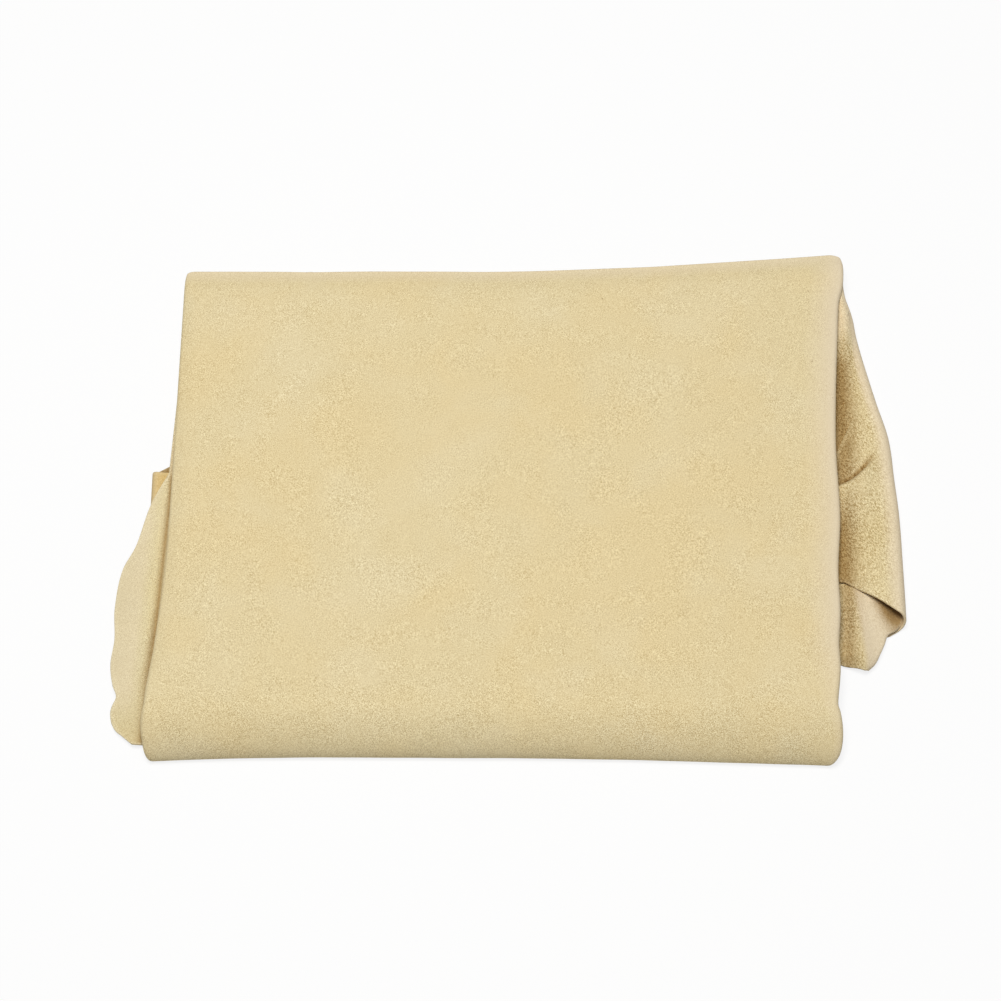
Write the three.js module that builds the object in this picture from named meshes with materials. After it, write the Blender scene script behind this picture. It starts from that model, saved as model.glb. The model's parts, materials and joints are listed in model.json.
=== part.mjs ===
// A folded chamois leather: one natural skin, doubled along its length and folded in a Z.
// The base panel lies on the table, the middle panel on the base, and the top panel covers both.
// A fat roll joins the top and middle panels in front, and a flatter fold joins middle and base behind.
// Loose margins of the middle panel stick out: a wavy flap on the left and a wrapped leg on the right.
// Millimetres, +X right, +Y away from the front roll, +Z up.
import * as THREE from 'three';

// The skin, and how its plies lie on each other
const SKIN = 1.1;
const PLY_AIR = 1.3;
const SEAM = 0.3;
const TABLE_CLEARANCE = 0.25;

// The top panel, over its outer edges
const PANEL_WIDTH = 265.6;
const PANEL_DEPTH = 199.5;
const PANEL_LOFT = 4.4;
const PANEL_CROWN = 1.2;
const CROWN_FLATNESS = 3;
const LEFT_FLARE = 5.6;
const LEFT_TAPER = 1.2;
const RIGHT_TAPER = 4;
const CORNER_FLARE = 3.2;
const CORNER_FLARE_LENGTH = 34;
const BACK_SKEW = 8.3;
const SKEW_BEND = 1.4;

// The front roll: its reach grows towards the right, and its two ends are drawn in
const ROLL_SKEW = 3.2;
const ROLL_END_ROUND = 1;
const SAG_LENGTH = 28;

// The middle and base panels
const BACK_FOLD_INSET = 5.75;
const BASE_SETBACK = 24;
const BASE_SIDE_INSET = 4.3;
const MIDDLE_LEFT_INSET = 5.8;
const MARGIN_RECESS = 8;
const MARGIN_RECESS_LENGTH = 15;

// The left flap, which turns about a line just outside the top panel's left edge
const FLAP_LENGTH = 113;
const FLAP_BACK_END = 12;
const FLAP_REACH = 16.2;
const FLAP_TRIM = [0.035, 0.985];
const FLAP_DROOP = 4.2;
const FLAP_BEND = 1.6;
const FLAP_RIPPLE = 0.5;
const FLAP_RIPPLES = 4.5;
const FLAP_ROOT_OFFSET = 0.8;
const FLAP_ROOT_SLOPE = 0.0532;

// The left tuck, a small folded corner of the base panel
const TUCK_REACH = 13;
const TUCK_LENGTH = 15;
const TUCK_FRONT_END = 0.6;
const TUCK_SLANT = 3;
const TUCK_HEIGHT = 4.9;
const TUCK_TURN = [0.4, 0.6];

// The right leg, which turns about a line just outside the top panel's right edge
const LEG_LENGTH = 138;
const LEG_FRONT_END = -52;
const LEG_REACH = 25;
const LEG_BIGHT_SHARE = 0.35;
const LEG_TURN = [0.58, 0.82];
const LEG_LIP = 8;
const LEG_CUT = 18;
const LEG_CUT_LEAD = 14.8;
const LEG_CUT_BEND = 1.25;
const LEG_DROOP = 0.5;
const LEG_ROOT_OFFSET = 3.2;
const LEG_ROOT_SLOPE = 0.0477;
const PLEAT_RISE = 1.6;
const PLEAT_ROOT = 6;
const PLEAT_RUN = 14;
const PLEAT_FADE = [7, 17];
const PLEAT_ADVANCE = 13;
const PLEAT_WIDTH = 3;
const PLEAT_SPREAD = 18;

// The tab that comes out of the leg's open end
const TAB_LENGTH = 52;
const TAB_FRONT_END = -70.5;
const TAB_REACH = 17.6;
const TAB_TURN = [0.68, 0.84];
const TAB_LIP = 5;
const TAB_DROOP = 0.9;
const TAB_BIGHT = 0.95;

// The most of a wrapped margin's width that comes back underneath
const LIP_SHARE = 0.6;

// Mid-surface heights of the six plies, from the table up
const PITCH = SKIN + PLY_AIR;
const Z_BASE_LOWER = SKIN / 2;
const Z_BASE_UPPER = Z_BASE_LOWER + PITCH;
const Z_MIDDLE_LOWER = Z_BASE_UPPER + PITCH;
const Z_MIDDLE_UPPER = Z_MIDDLE_LOWER + PITCH;
const Z_TOP_LOWER = Z_MIDDLE_UPPER + PITCH;
const Z_TOP_UPPER = Z_TOP_LOWER + PANEL_LOFT;

// The front roll's axis and radii, at mid-surface
const Z_ROLL_FOOT = TABLE_CLEARANCE + SKIN / 2;
const ROLL_RADIUS = (Z_TOP_UPPER - Z_ROLL_FOOT) / 2;
const ROLL_Z = (Z_TOP_UPPER + Z_ROLL_FOOT) / 2;
const ROLL_Y = -PANEL_DEPTH / 2;
const INNER_ROLL_RADIUS = ROLL_RADIUS - PITCH;

// The back fold's axis and radii, at mid-surface
const BACK_FOLD_Y = PANEL_DEPTH / 2 - BACK_FOLD_INSET;
const BACK_FOLD_Z = (Z_MIDDLE_UPPER + Z_BASE_LOWER) / 2;
const BACK_FOLD_RADIUS = (Z_MIDDLE_UPPER - Z_BASE_LOWER) / 2;
const INNER_BACK_FOLD_RADIUS = (Z_MIDDLE_LOWER - Z_BASE_UPPER) / 2;

// The turned edges of the top and base panels, at mid-surface
const TOP_RIM = PANEL_LOFT / 2;
const BASE_RIM = PITCH / 2;

const { clamp, lerp, smoothstep } = THREE.MathUtils;

// Steps from 0 to 1, both ends included
const steps = (count) => Array.from({ length: count + 1 }, (_, i) => i / count);

// A smooth curve through a few [place, value] points, read at any place
function throughPoints(points) {
  return (place) => {
    const last = points.length - 2;
    const found = points.findIndex((point, i) => i > 0 && place <= point[0]);
    const i = clamp(found < 0 ? last : found - 1, 0, last);
    const slope = (k) => {
      const before = points[Math.max(k - 1, 0)];
      const after = points[Math.min(k + 1, points.length - 1)];
      return (after[1] - before[1]) / (after[0] - before[0]);
    };
    const [p0, v0] = points[i];
    const [p1, v1] = points[i + 1];
    const span = p1 - p0;
    const t = clamp((place - p0) / span, 0, 1);
    const blend = t * t * (3 - 2 * t);
    const bend0 = t * (1 - t) * (1 - t) * span * slope(i);
    const bend1 = t * t * (t - 1) * span * slope(i + 1);
    return v0 + (v1 - v0) * blend + bend0 + bend1;
  };
}

// Outer edges of the top panel in plan
function panelLeft(y) {
  const run = y / ROLL_Y;
  return -PANEL_WIDTH / 2 - LEFT_FLARE * Math.max(run, 0) ** 2 + LEFT_TAPER * Math.max(-run, 0);
}

function panelRight(y) {
  const flareStart = PANEL_DEPTH / 2 - CORNER_FLARE_LENGTH;
  const flare = Math.max((y - flareStart) / CORNER_FLARE_LENGTH, 0);
  return PANEL_WIDTH / 2 - (RIGHT_TAPER * y) / ROLL_Y + CORNER_FLARE * flare ** 2;
}

function panelBack(x) {
  const run = Math.max((2 * x) / PANEL_WIDTH, 0);
  return PANEL_DEPTH / 2 + BACK_SKEW * run ** SKEW_BEND;
}

// Lines that the two loose margins turn about, in plan
function flapRoot(y) {
  return -PANEL_WIDTH / 2 - FLAP_ROOT_OFFSET - FLAP_ROOT_SLOPE * (FLAP_BACK_END - y);
}

function legRoot(y) {
  return PANEL_WIDTH / 2 + LEG_ROOT_OFFSET + LEG_ROOT_SLOPE * y;
}

// Near the front the plies swing apart into the open roll
const rollEase = (y) => smoothstep(y, ROLL_Y, ROLL_Y + SAG_LENGTH);
const middleLowerZ = (y) => lerp(Z_ROLL_FOOT, Z_MIDDLE_LOWER, rollEase(y));
const middleUpperZ = (y) => lerp(Z_ROLL_FOOT + PITCH, Z_MIDDLE_UPPER, rollEase(y));
const topLowerZ = (y) => lerp(Z_TOP_UPPER - PITCH, Z_TOP_LOWER, rollEase(y));

// One closed solid of the skin's thickness round a grid of mid-surface points and normals
function skinSolid(grid) {
  const rows = grid.length;
  const columns = grid[0].length;
  const positions = [];
  for (const side of [0.5, -0.5]) {
    for (const row of grid) {
      for (const { point, normal } of row) {
        const offset = point.clone().addScaledVector(normal, side * SKIN);
        positions.push(offset.x, offset.y, offset.z);
      }
    }
  }
  const under = rows * columns;
  const at = (r, c) => r * columns + c;
  const indices = [];
  const quad = (a, b, c, d) => indices.push(a, b, c, a, c, d);
  for (let r = 0; r < rows - 1; r += 1) {
    for (let c = 0; c < columns - 1; c += 1) {
      quad(at(r, c), at(r, c + 1), at(r + 1, c + 1), at(r + 1, c));
      quad(under + at(r + 1, c), under + at(r + 1, c + 1), under + at(r, c + 1), under + at(r, c));
    }
  }
  const rim = [];
  for (let c = 0; c < columns - 1; c += 1) rim.push(at(0, c));
  for (let r = 0; r < rows - 1; r += 1) rim.push(at(r, columns - 1));
  for (let c = columns - 1; c > 0; c -= 1) rim.push(at(rows - 1, c));
  for (let r = rows - 1; r > 0; r -= 1) rim.push(at(r, 0));
  rim.forEach((a, i) => {
    const b = rim[(i + 1) % rim.length];
    quad(b, a, under + a, under + b);
  });
  const geometry = new THREE.BufferGeometry();
  geometry.setAttribute('position', new THREE.Float32BufferAttribute(positions, 3));
  geometry.setIndex(indices);
  geometry.computeVertexNormals();
  return geometry;
}

// A grid of surface(u, v) with normals from its slopes; u runs along a row and v from row to row
function surfaceGrid(surface, us, vs) {
  const nudge = 1e-3;
  return vs.map((v) => us.map((u) => {
    const along = surface(u + nudge, v).sub(surface(u - nudge, v));
    const across = surface(u, v + nudge).sub(surface(u, v - nudge));
    return { point: surface(u, v), normal: along.cross(across).normalize() };
  }));
}

// Columns of a panel whose two sides turn under: a negative turn on the left, a positive one on the right
function turnedColumns(flatSteps, turnSteps) {
  const turns = steps(turnSteps).slice(1);
  const left = turns.map((turn) => ({ share: 0, turn: -turn })).reverse();
  const flat = steps(flatSteps).map((share) => ({ share, turn: 0 }));
  const right = turns.map((turn) => ({ share: 1, turn }));
  return [...left, ...flat, ...right];
}

// Places along and across the top panel, shared by its two plies: closer at the roll and the back corner
const PANEL_ROWS = [0, 0.05, 0.1, 0.15, 0.25, 0.4, 0.55, 0.7, 0.8, 0.9, 1];
const PANEL_COLUMNS = 12;

// The face of the top panel: crowned, with its left, back and right edges turned half round and under
function topUpperPly() {
  const outerRim = TOP_RIM + SKIN / 2;
  const flatBack = (x) => panelBack(x) - outerRim;
  const columns = turnedColumns(PANEL_COLUMNS, 4);
  const flatRows = PANEL_ROWS.map((share) => ({ share, turn: 0 }));
  const rimRows = steps(4).slice(1).map((turn) => ({ share: 1, turn }));
  const grid = [...flatRows, ...rimRows].map((row) => columns.map((column) => {
    const frontY = ROLL_Y + SEAM;
    const roughX = lerp(-PANEL_WIDTH / 2, PANEL_WIDTH / 2, column.share);
    const y = lerp(frontY, flatBack(roughX), row.share);
    const x = lerp(panelLeft(y) + outerRim, panelRight(y) - outerRim, column.share);
    const crownAcross = 1 - Math.abs(2 * column.share - 1) ** CROWN_FLATNESS;
    const crownAlong = 1 - Math.abs(2 * row.share - 1) ** CROWN_FLATNESS;
    const z = Z_TOP_UPPER + PANEL_CROWN * crownAcross * crownAlong;
    const side = column.turn * Math.sqrt(1 - row.turn ** 2 / 2);
    const back = row.turn * Math.sqrt(1 - column.turn ** 2 / 2);
    const turn = Math.PI * Math.hypot(side, back);
    const heading = Math.atan2(back, side);
    const out = new THREE.Vector3(Math.cos(heading), Math.sin(heading), 0);
    const normal = out.multiplyScalar(Math.sin(turn)).setZ(Math.cos(turn));
    const centre = new THREE.Vector3(x, y, z - TOP_RIM);
    return { point: centre.addScaledVector(normal, TOP_RIM), normal };
  }));
  return skinSolid(grid);
}

// The under side of the top panel, between the turned edges
function topLowerPly() {
  const inset = TOP_RIM + SKIN / 2 + SEAM;
  const surface = (u, v) => {
    const roughX = lerp(-PANEL_WIDTH / 2, PANEL_WIDTH / 2, u);
    const back = panelBack(roughX) - inset;
    const y = lerp(ROLL_Y + SEAM, back, v);
    const x = lerp(panelLeft(y) + inset, panelRight(y) - inset, u);
    return new THREE.Vector3(x, y, topLowerZ(y));
  };
  return skinSolid(surfaceGrid(surface, steps(PANEL_COLUMNS), PANEL_ROWS));
}

// The outer ply of the front roll, half a turn from the top panel down to the middle panel's lower ply
function frontFoldOuter() {
  const outerRim = TOP_RIM + SKIN / 2;
  const seamAngle = SEAM / ROLL_RADIUS;
  const left = panelLeft(ROLL_Y) + outerRim;
  const right = panelRight(ROLL_Y) - outerRim;
  const columns = turnedColumns(8, 4);
  const grid = steps(10).map((share) => columns.map((column) => {
    const angle = lerp(Math.PI - seamAngle, seamAngle, share);
    const drawnIn = ROLL_END_ROUND * Math.sin(angle) ** 2;
    const x = lerp(left + drawnIn, right - drawnIn, column.share);
    const skew = ROLL_SKEW * Math.max((2 * x) / PANEL_WIDTH, 0) ** SKEW_BEND;
    const stretch = 1 + skew / ROLL_RADIUS;
    const turn = Math.PI * column.turn;
    const radial = new THREE.Vector3(0, -Math.sin(angle), Math.cos(angle));
    const reach = ROLL_RADIUS - TOP_RIM + TOP_RIM * Math.cos(turn);
    const point = new THREE.Vector3(x + TOP_RIM * Math.sin(turn), ROLL_Y, ROLL_Z);
    point.y += radial.y * reach * stretch;
    point.z += radial.z * reach;
    const normal = radial.multiplyScalar(Math.cos(turn)).setX(Math.sin(turn));
    return { point, normal };
  }));
  return skinSolid(grid);
}

// A plain half round fold between two plies, opening towards +Y or -Y
function plainFold(y, z, radius, left, right, towards) {
  const seamAngle = SEAM / radius;
  const surface = (u, v) => {
    const angle = lerp(seamAngle, Math.PI - seamAngle, v);
    const x = lerp(left, right, u);
    return new THREE.Vector3(x, y + towards * radius * Math.sin(angle), z + towards * radius * Math.cos(angle));
  };
  return skinSolid(surfaceGrid(surface, steps(2), steps(8)));
}

// The inner ply of the front roll, between the drawn-in ends of the outer one
function frontFoldInner() {
  const inset = TOP_RIM + SKIN / 2 + SEAM + ROLL_END_ROUND;
  const left = panelLeft(ROLL_Y) + inset;
  const right = panelRight(ROLL_Y) - inset;
  return plainFold(ROLL_Y, ROLL_Z, INNER_ROLL_RADIUS, left, right, -1);
}

// The sides of the base panel, over its turned edges
const baseLeft = () => -PANEL_WIDTH / 2 + BASE_SIDE_INSET;
const baseRight = () => PANEL_WIDTH / 2 - BASE_SIDE_INSET;

function backFold(z, radius) {
  const inset = BASE_RIM + SKIN / 2 + SEAM;
  return plainFold(BACK_FOLD_Y, z, radius, baseLeft() + inset, baseRight() - inset, 1);
}

// The upper ply of the middle panel; its right margin draws in under the top panel, in front of the leg
function middleUpperPly() {
  const legMouth = LEG_FRONT_END + LEG_CUT_LEAD;
  const surface = (u, v) => {
    const y = lerp(ROLL_Y + SEAM, BACK_FOLD_Y - SEAM, v);
    const recess = MARGIN_RECESS * (1 - smoothstep(y, legMouth - MARGIN_RECESS_LENGTH, legMouth));
    return new THREE.Vector3(lerp(flapRoot(y) + SEAM, legRoot(y) - SEAM - recess, u), y, middleUpperZ(y));
  };
  return skinSolid(surfaceGrid(surface, steps(3), middleRows(legMouth)));
}

// The lower ply of the middle panel; its right margin draws in, in front of the tab
function middleLowerPly() {
  const surface = (u, v) => {
    const y = lerp(ROLL_Y + SEAM, BACK_FOLD_Y - SEAM, v);
    const left = -PANEL_WIDTH / 2 + MIDDLE_LEFT_INSET;
    const recess = MARGIN_RECESS * (1 - smoothstep(y, TAB_FRONT_END - MARGIN_RECESS_LENGTH, TAB_FRONT_END));
    return new THREE.Vector3(lerp(left, legRoot(y) - SEAM - recess, u), y, middleLowerZ(y));
  };
  return skinSolid(surfaceGrid(surface, steps(3), middleRows(TAB_FRONT_END)));
}

// Rows of the middle plies: close over the sag and over the recess, wide where the ply lies flat
function middleRows(recessEnd) {
  const depth = BACK_FOLD_Y - ROLL_Y;
  const sagEnd = SAG_LENGTH / depth;
  const recessShare = (recessEnd - ROLL_Y) / depth;
  const recessStart = recessShare - MARGIN_RECESS_LENGTH / depth;
  const sag = steps(7).map((share) => share * sagEnd);
  const recess = steps(4).map((share) => lerp(recessStart, recessShare, share));
  const flat = steps(3).slice(1).map((share) => lerp(Math.max(sagEnd, recessShare), 1, share));
  const rows = [...sag, ...recess, ...flat].sort((a, b) => a - b);
  return rows.filter((row, i) => i === 0 || row - rows[i - 1] > SKIN / depth);
}

// The upper ply of the base panel, with its left and right edges turned under
function baseUpperPly() {
  const outerRim = BASE_RIM + SKIN / 2;
  const grid = steps(2).map((share) => turnedColumns(2, 6).map((column) => {
    const turn = Math.PI * column.turn;
    const normal = new THREE.Vector3(Math.sin(turn), 0, Math.cos(turn));
    const x = lerp(baseLeft() + outerRim, baseRight() - outerRim, column.share);
    const y = lerp(ROLL_Y + BASE_SETBACK, BACK_FOLD_Y - SEAM, share);
    const centre = new THREE.Vector3(x, y, Z_BASE_UPPER - BASE_RIM);
    return { point: centre.addScaledVector(normal, BASE_RIM), normal };
  }));
  return skinSolid(grid);
}

// The lowest ply, a flat sheet on the table between the base panel's turned edges
function baseLowerPly() {
  const inset = BASE_RIM + SKIN / 2 + SEAM;
  const left = baseLeft() + inset;
  const right = baseRight() - inset;
  const front = ROLL_Y + BASE_SETBACK;
  const back = BACK_FOLD_Y - SEAM;
  const outline = new THREE.Shape([[left, front], [right, front], [right, back], [left, back]]
    .map(([x, y]) => new THREE.Vector2(x, y)));
  return new THREE.ExtrudeGeometry(outline, { depth: SKIN, bevelEnabled: false });
}

// The flap's raw edge: its reach as a share of FLAP_REACH, from the back end to the front end
const flapEdge = throughPoints([
  [0, 0], [0.11, 0.35], [0.27, 0.63], [0.36, 0.9], [0.52, 1],
  [0.73, 0.95], [0.83, 0.71], [0.89, 0.81], [0.95, 0.66], [1, 0.02],
]);

// A single raw-edged ply that droops outwards and ripples along its edge
function leftFlap() {
  const lowest = TABLE_CLEARANCE + SKIN;
  const surface = (u, v) => {
    const y = FLAP_BACK_END - FLAP_LENGTH * v;
    const reach = FLAP_REACH * flapEdge(v) * u;
    const out = reach / FLAP_REACH;
    const rootZ = middleUpperZ(Math.max(y, ROLL_Y));
    const ease = (rootZ - lowest) / (Z_MIDDLE_UPPER - lowest);
    const ripple = FLAP_RIPPLE * Math.sin(2 * Math.PI * FLAP_RIPPLES * v) * out;
    const z = rootZ - (FLAP_DROOP * Math.abs(out) ** FLAP_BEND + ripple) * ease;
    return new THREE.Vector3(flapRoot(y) - SEAM - reach, y, z);
  };
  const rows = steps(26).map((share) => lerp(...FLAP_TRIM, share));
  return skinSolid(surfaceGrid(surface, steps(6), rows));
}

// Places round a section that runs out, turns and comes back, each a hair clear of the turn's two ends
function sectionSteps([turnStart, turnEnd], overSteps, turnSteps, underSteps) {
  const nip = 0.003;
  const over = steps(overSteps).map((share) => lerp(nip, turnStart - nip, share));
  const round = steps(turnSteps).map((share) => lerp(turnStart + nip, turnEnd - nip, share));
  const under = steps(underSteps).map((share) => lerp(turnEnd + nip, 1 - nip, share));
  return [...over, ...round, ...under];
}

// Even places from 0 to 1, a hair clear of both ends
const trimmedSteps = (count) => steps(count).map((share) => lerp(0.003, 0.997, share));

// A folded corner of the base panel: out, half round and back, with a slanted back edge
function leftTuck() {
  const bight = (TUCK_HEIGHT - SKIN) / 2 - TABLE_CLEARANCE;
  const centreZ = Z_ROLL_FOOT + bight;
  const flatReach = TUCK_REACH - bight - SKIN / 2;
  const [turnStart, turnEnd] = TUCK_TURN;
  const surface = (u, v) => {
    const turn = Math.PI * clamp((u - turnStart) / (turnEnd - turnStart), 0, 1);
    const flat = flatReach * clamp(Math.min(u / turnStart, (1 - u) / (1 - turnEnd)), 0, 1);
    const out = SEAM + flat + bight * Math.sin(turn);
    const slant = TUCK_SLANT * (1 - out / TUCK_REACH);
    const y = TUCK_FRONT_END + (TUCK_LENGTH + slant) * v;
    return new THREE.Vector3(baseLeft() - out, y, centreZ + bight * Math.cos(turn));
  };
  return skinSolid(surfaceGrid(surface, sectionSteps(TUCK_TURN, 2, 5, 2), trimmedSteps(3)));
}

// The leg's folded outer edge and the tab's: their reach as a share, from the front end to the back end
const legEdge = throughPoints([[0, 1], [0.2, 0.96], [0.5, 0.82], [0.66, 0.62], [0.83, 0.3], [1, 0.12]]);
const tabEdge = throughPoints([[0, 0.56], [0.1, 0.84], [0.26, 0.97], [0.5, 1], [1, 1]]);

// Rise of the pleat: the skin in front of its line lies over the skin behind it, and fades outwards
function pleatRise(fromRoot, y) {
  const along = clamp(fromRoot / PLEAT_RUN, 0, 1);
  const line = PLEAT_ROOT + PLEAT_ADVANCE * along;
  const before = (line - y) / PLEAT_WIDTH;
  const fade = 1 - smoothstep(fromRoot, ...PLEAT_FADE);
  const spread = Math.exp(-Math.abs(line - y) / PLEAT_SPREAD);
  return (PLEAT_RISE / 2) * Math.tanh(before) * fade * spread;
}

// A margin that runs out from its root, turns half round and comes back underneath as a short lip
function wrappedMargin({ section, rows, frontEnd, length, reachAt, cutAt, lift, droop, rootZ, bightAt, lip }) {
  const [turnStart, turnEnd] = section;
  const surface = (u, v) => {
    const reach = reachAt(v);
    const bight = bightAt(reach);
    const flatReach = Math.max(reach - bight - SKIN / 2, SKIN);
    const over = clamp(u / turnStart, 0, 1);
    const turn = Math.PI * clamp((u - turnStart) / (turnEnd - turnStart), 0, 1);
    const under = clamp((u - turnEnd) / (1 - turnEnd), 0, 1);
    const flat = flatReach * over - Math.min(lip, flatReach * LIP_SHARE) * under;
    const out = SEAM + flat + bight * Math.sin(turn);
    const y = frontEnd + length * v + cutAt(u) * (1 - v) ** 2;
    const overZ = rootZ - droop * over ** 2;
    const z = overZ - bight * (1 - Math.cos(turn)) + (turn === 0 ? lift(out, y) : 0);
    return new THREE.Vector3(legRoot(y) + out, y, z);
  };
  return skinSolid(surfaceGrid(surface, sectionSteps(section, 7, 6, 2), rows));
}

function rightLeg() {
  const overZ = Z_MIDDLE_UPPER - LEG_DROOP;
  const fullBight = (overZ - Z_ROLL_FOOT) / 2;
  return wrappedMargin({
    section: LEG_TURN,
    rows: trimmedSteps(24),
    frontEnd: LEG_FRONT_END,
    length: LEG_LENGTH,
    reachAt: (v) => LEG_REACH * legEdge(v),
    cutAt: (u) => LEG_CUT_LEAD - LEG_CUT * u ** LEG_CUT_BEND,
    lift: pleatRise,
    droop: LEG_DROOP,
    rootZ: Z_MIDDLE_UPPER,
    bightAt: (reach) => Math.min(fullBight, Math.max(reach * LEG_BIGHT_SHARE, SKIN)),
    lip: LEG_LIP,
  });
}

// The tab's round front end takes closer rows than its straight back end
function rightLegTab() {
  return wrappedMargin({
    section: TAB_TURN,
    rows: trimmedSteps(9).map((share) => share * Math.sqrt(share)),
    frontEnd: TAB_FRONT_END,
    length: TAB_LENGTH,
    reachAt: (v) => TAB_REACH * tabEdge(v),
    cutAt: () => 0,
    lift: () => 0,
    droop: TAB_DROOP,
    rootZ: Z_MIDDLE_LOWER,
    bightAt: () => TAB_BIGHT,
    lip: TAB_LIP,
  });
}

// Suede colours: the cream face, the paler back of the skin, and the tan of deep folds
const suede = (color) => new THREE.MeshStandardMaterial({ color, roughness: 0.95, metalness: 0 });
const creamFace = suede(0xe2d1a2);
const paleBack = suede(0xdbcea8);
const tanFold = suede(0xd4b97e);

const pieces = [
  ['top_upper_ply', topUpperPly(), creamFace],
  ['top_lower_ply', topLowerPly(), paleBack],
  ['front_fold_outer', frontFoldOuter(), creamFace],
  ['front_fold_inner', frontFoldInner(), paleBack],
  ['middle_upper_ply', middleUpperPly(), paleBack],
  ['middle_lower_ply', middleLowerPly(), creamFace],
  ['back_fold_outer', backFold(BACK_FOLD_Z, BACK_FOLD_RADIUS), paleBack],
  ['back_fold_inner', backFold(BACK_FOLD_Z, INNER_BACK_FOLD_RADIUS), creamFace],
  ['base_upper_ply', baseUpperPly(), creamFace],
  ['base_lower_ply', baseLowerPly(), paleBack],
  ['left_flap', leftFlap(), paleBack],
  ['left_tuck', leftTuck(), tanFold],
  ['right_leg', rightLeg(), tanFold],
  ['right_leg_tab', rightLegTab(), creamFace],
];

const chamois = new THREE.Group();
chamois.name = 'chamois_leather';
for (const [name, geometry, material] of pieces) {
  const mesh = new THREE.Mesh(geometry, material);
  mesh.name = name;
  chamois.add(mesh);
}

// The origin is the middle of the folded skin's footprint, on the table
const footprint = new THREE.Box3().setFromObject(chamois).getCenter(new THREE.Vector3());
chamois.position.set(-footprint.x, -footprint.y, 0);

export default chamois;
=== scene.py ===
import json
import math

import bpy
import numpy as np
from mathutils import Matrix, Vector, noise


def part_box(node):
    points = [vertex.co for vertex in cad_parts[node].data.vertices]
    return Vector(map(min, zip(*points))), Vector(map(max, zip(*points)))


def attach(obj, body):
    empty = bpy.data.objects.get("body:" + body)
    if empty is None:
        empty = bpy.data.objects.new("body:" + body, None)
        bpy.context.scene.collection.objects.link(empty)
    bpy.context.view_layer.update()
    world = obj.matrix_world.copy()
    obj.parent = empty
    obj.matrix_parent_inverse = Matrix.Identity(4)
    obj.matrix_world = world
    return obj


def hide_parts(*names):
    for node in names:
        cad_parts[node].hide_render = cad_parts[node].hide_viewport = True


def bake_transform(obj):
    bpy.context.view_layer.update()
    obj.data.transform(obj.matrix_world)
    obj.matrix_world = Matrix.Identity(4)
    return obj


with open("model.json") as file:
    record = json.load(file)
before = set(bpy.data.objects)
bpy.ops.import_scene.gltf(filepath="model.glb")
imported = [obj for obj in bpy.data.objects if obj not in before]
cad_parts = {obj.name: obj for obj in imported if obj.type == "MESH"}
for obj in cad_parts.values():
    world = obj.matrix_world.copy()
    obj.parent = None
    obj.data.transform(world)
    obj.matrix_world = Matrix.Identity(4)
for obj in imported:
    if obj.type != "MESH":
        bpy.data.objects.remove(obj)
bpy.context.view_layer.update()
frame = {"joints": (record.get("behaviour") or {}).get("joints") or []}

# A folded chamois leather: each ply is a sheet of real leather, 1.1 mm thick, shaped as it lies.
# Shapes are worked out in plan round the middle of the top panel, and moved to the frame at the end.
MM = 0.001
JOINTS = {joint["name"]: joint for joint in frame["joints"]}

# The skin, the angles of the points round its raw edges, and the steps that its sheets are drawn in
SKIN = 1.1 * MM
RAW_EDGE_BAND = 3 * MM
EDGE_RING = (50, 18, -18, -50)
EDGE_SIDE = 0.5
BACK_SIDE = 1
FLAT_STEP = 1.45 * MM
HIDDEN_STEP = 2 * MM
HIDDEN_COLUMNS = 100
RIM_STEPS = 11
SIDE_CROWDING = 0.7
WAVE_SHIFT = (7.31, 3.17, 5.53)
TINY = 1e-9

# The top panel in plan: its sides stand out from a rectangle by (place, stand-out) in millimetres,
# with places counted towards the front on the left side and towards the back on the right side
PANEL_WIDTH = 265.6 * MM
PANEL_DEPTH = 199.5 * MM
PANEL_CROWN = 1.2 * MM
CROWN_FLATNESS = 3
LEFT_EDGE = [(-100, -1.2), (0, 0), (25, 0.5), (45, 1.8), (65, 3.6), (85, 6), (100, 6.2)]
RIGHT_EDGE = [
    (-106, -3.6), (-91, -4), (-73, -1.9), (-63, -2.1), (-50, -0.8), (-32, -0.8), (-9, 1.1),
    (20, 0.9), (41, 1.8), (68, 3.7), (88, 5.4), (95, 7.4), (106, 8.2),
]
BACK_SKEW = 8 * MM
SKEW_BEND = 1.4
CORNER_ROUND_LEFT = 1.2 * MM
CORNER_ROUND_RIGHT = 3.2 * MM
CORNER_BEND = 0.26
BACK_FULLNESS = 2.9 * MM
SOFT_EDGE_LEFT = 5 * MM
SOFT_EDGE_RIGHT = 10 * MM
SOFT_EDGE_BACK = 14 * MM
SIDE_DROP = 1.1 * MM
BACK_DROP = 3.6 * MM
RIM_TURN = 0.93 * math.pi
RIM_BULGE = 1.4 * MM
TOP_SOFTENING = 3
TOP_WAVES = [(0.28 * MM, 48 * MM), (0.11 * MM, 17 * MM)]
WAVE_END_TURN = 1.2

# Wear of the top panel, with spans in rows from the end of the roll
WORN_RIGHT = 13 * MM
WORN_RIGHT_BEND = 0.7
WORN_BACK = 0.55
WORN_BACK_LEAD = 5
WORN_BACK_ROWS = 7
WORN_ROLL = 0.3
WORN_ROLL_SPAN = (-10, 30)
ROLL_NAP = 0.8
ROLL_NAP_SPAN = (-20, 20)

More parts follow.
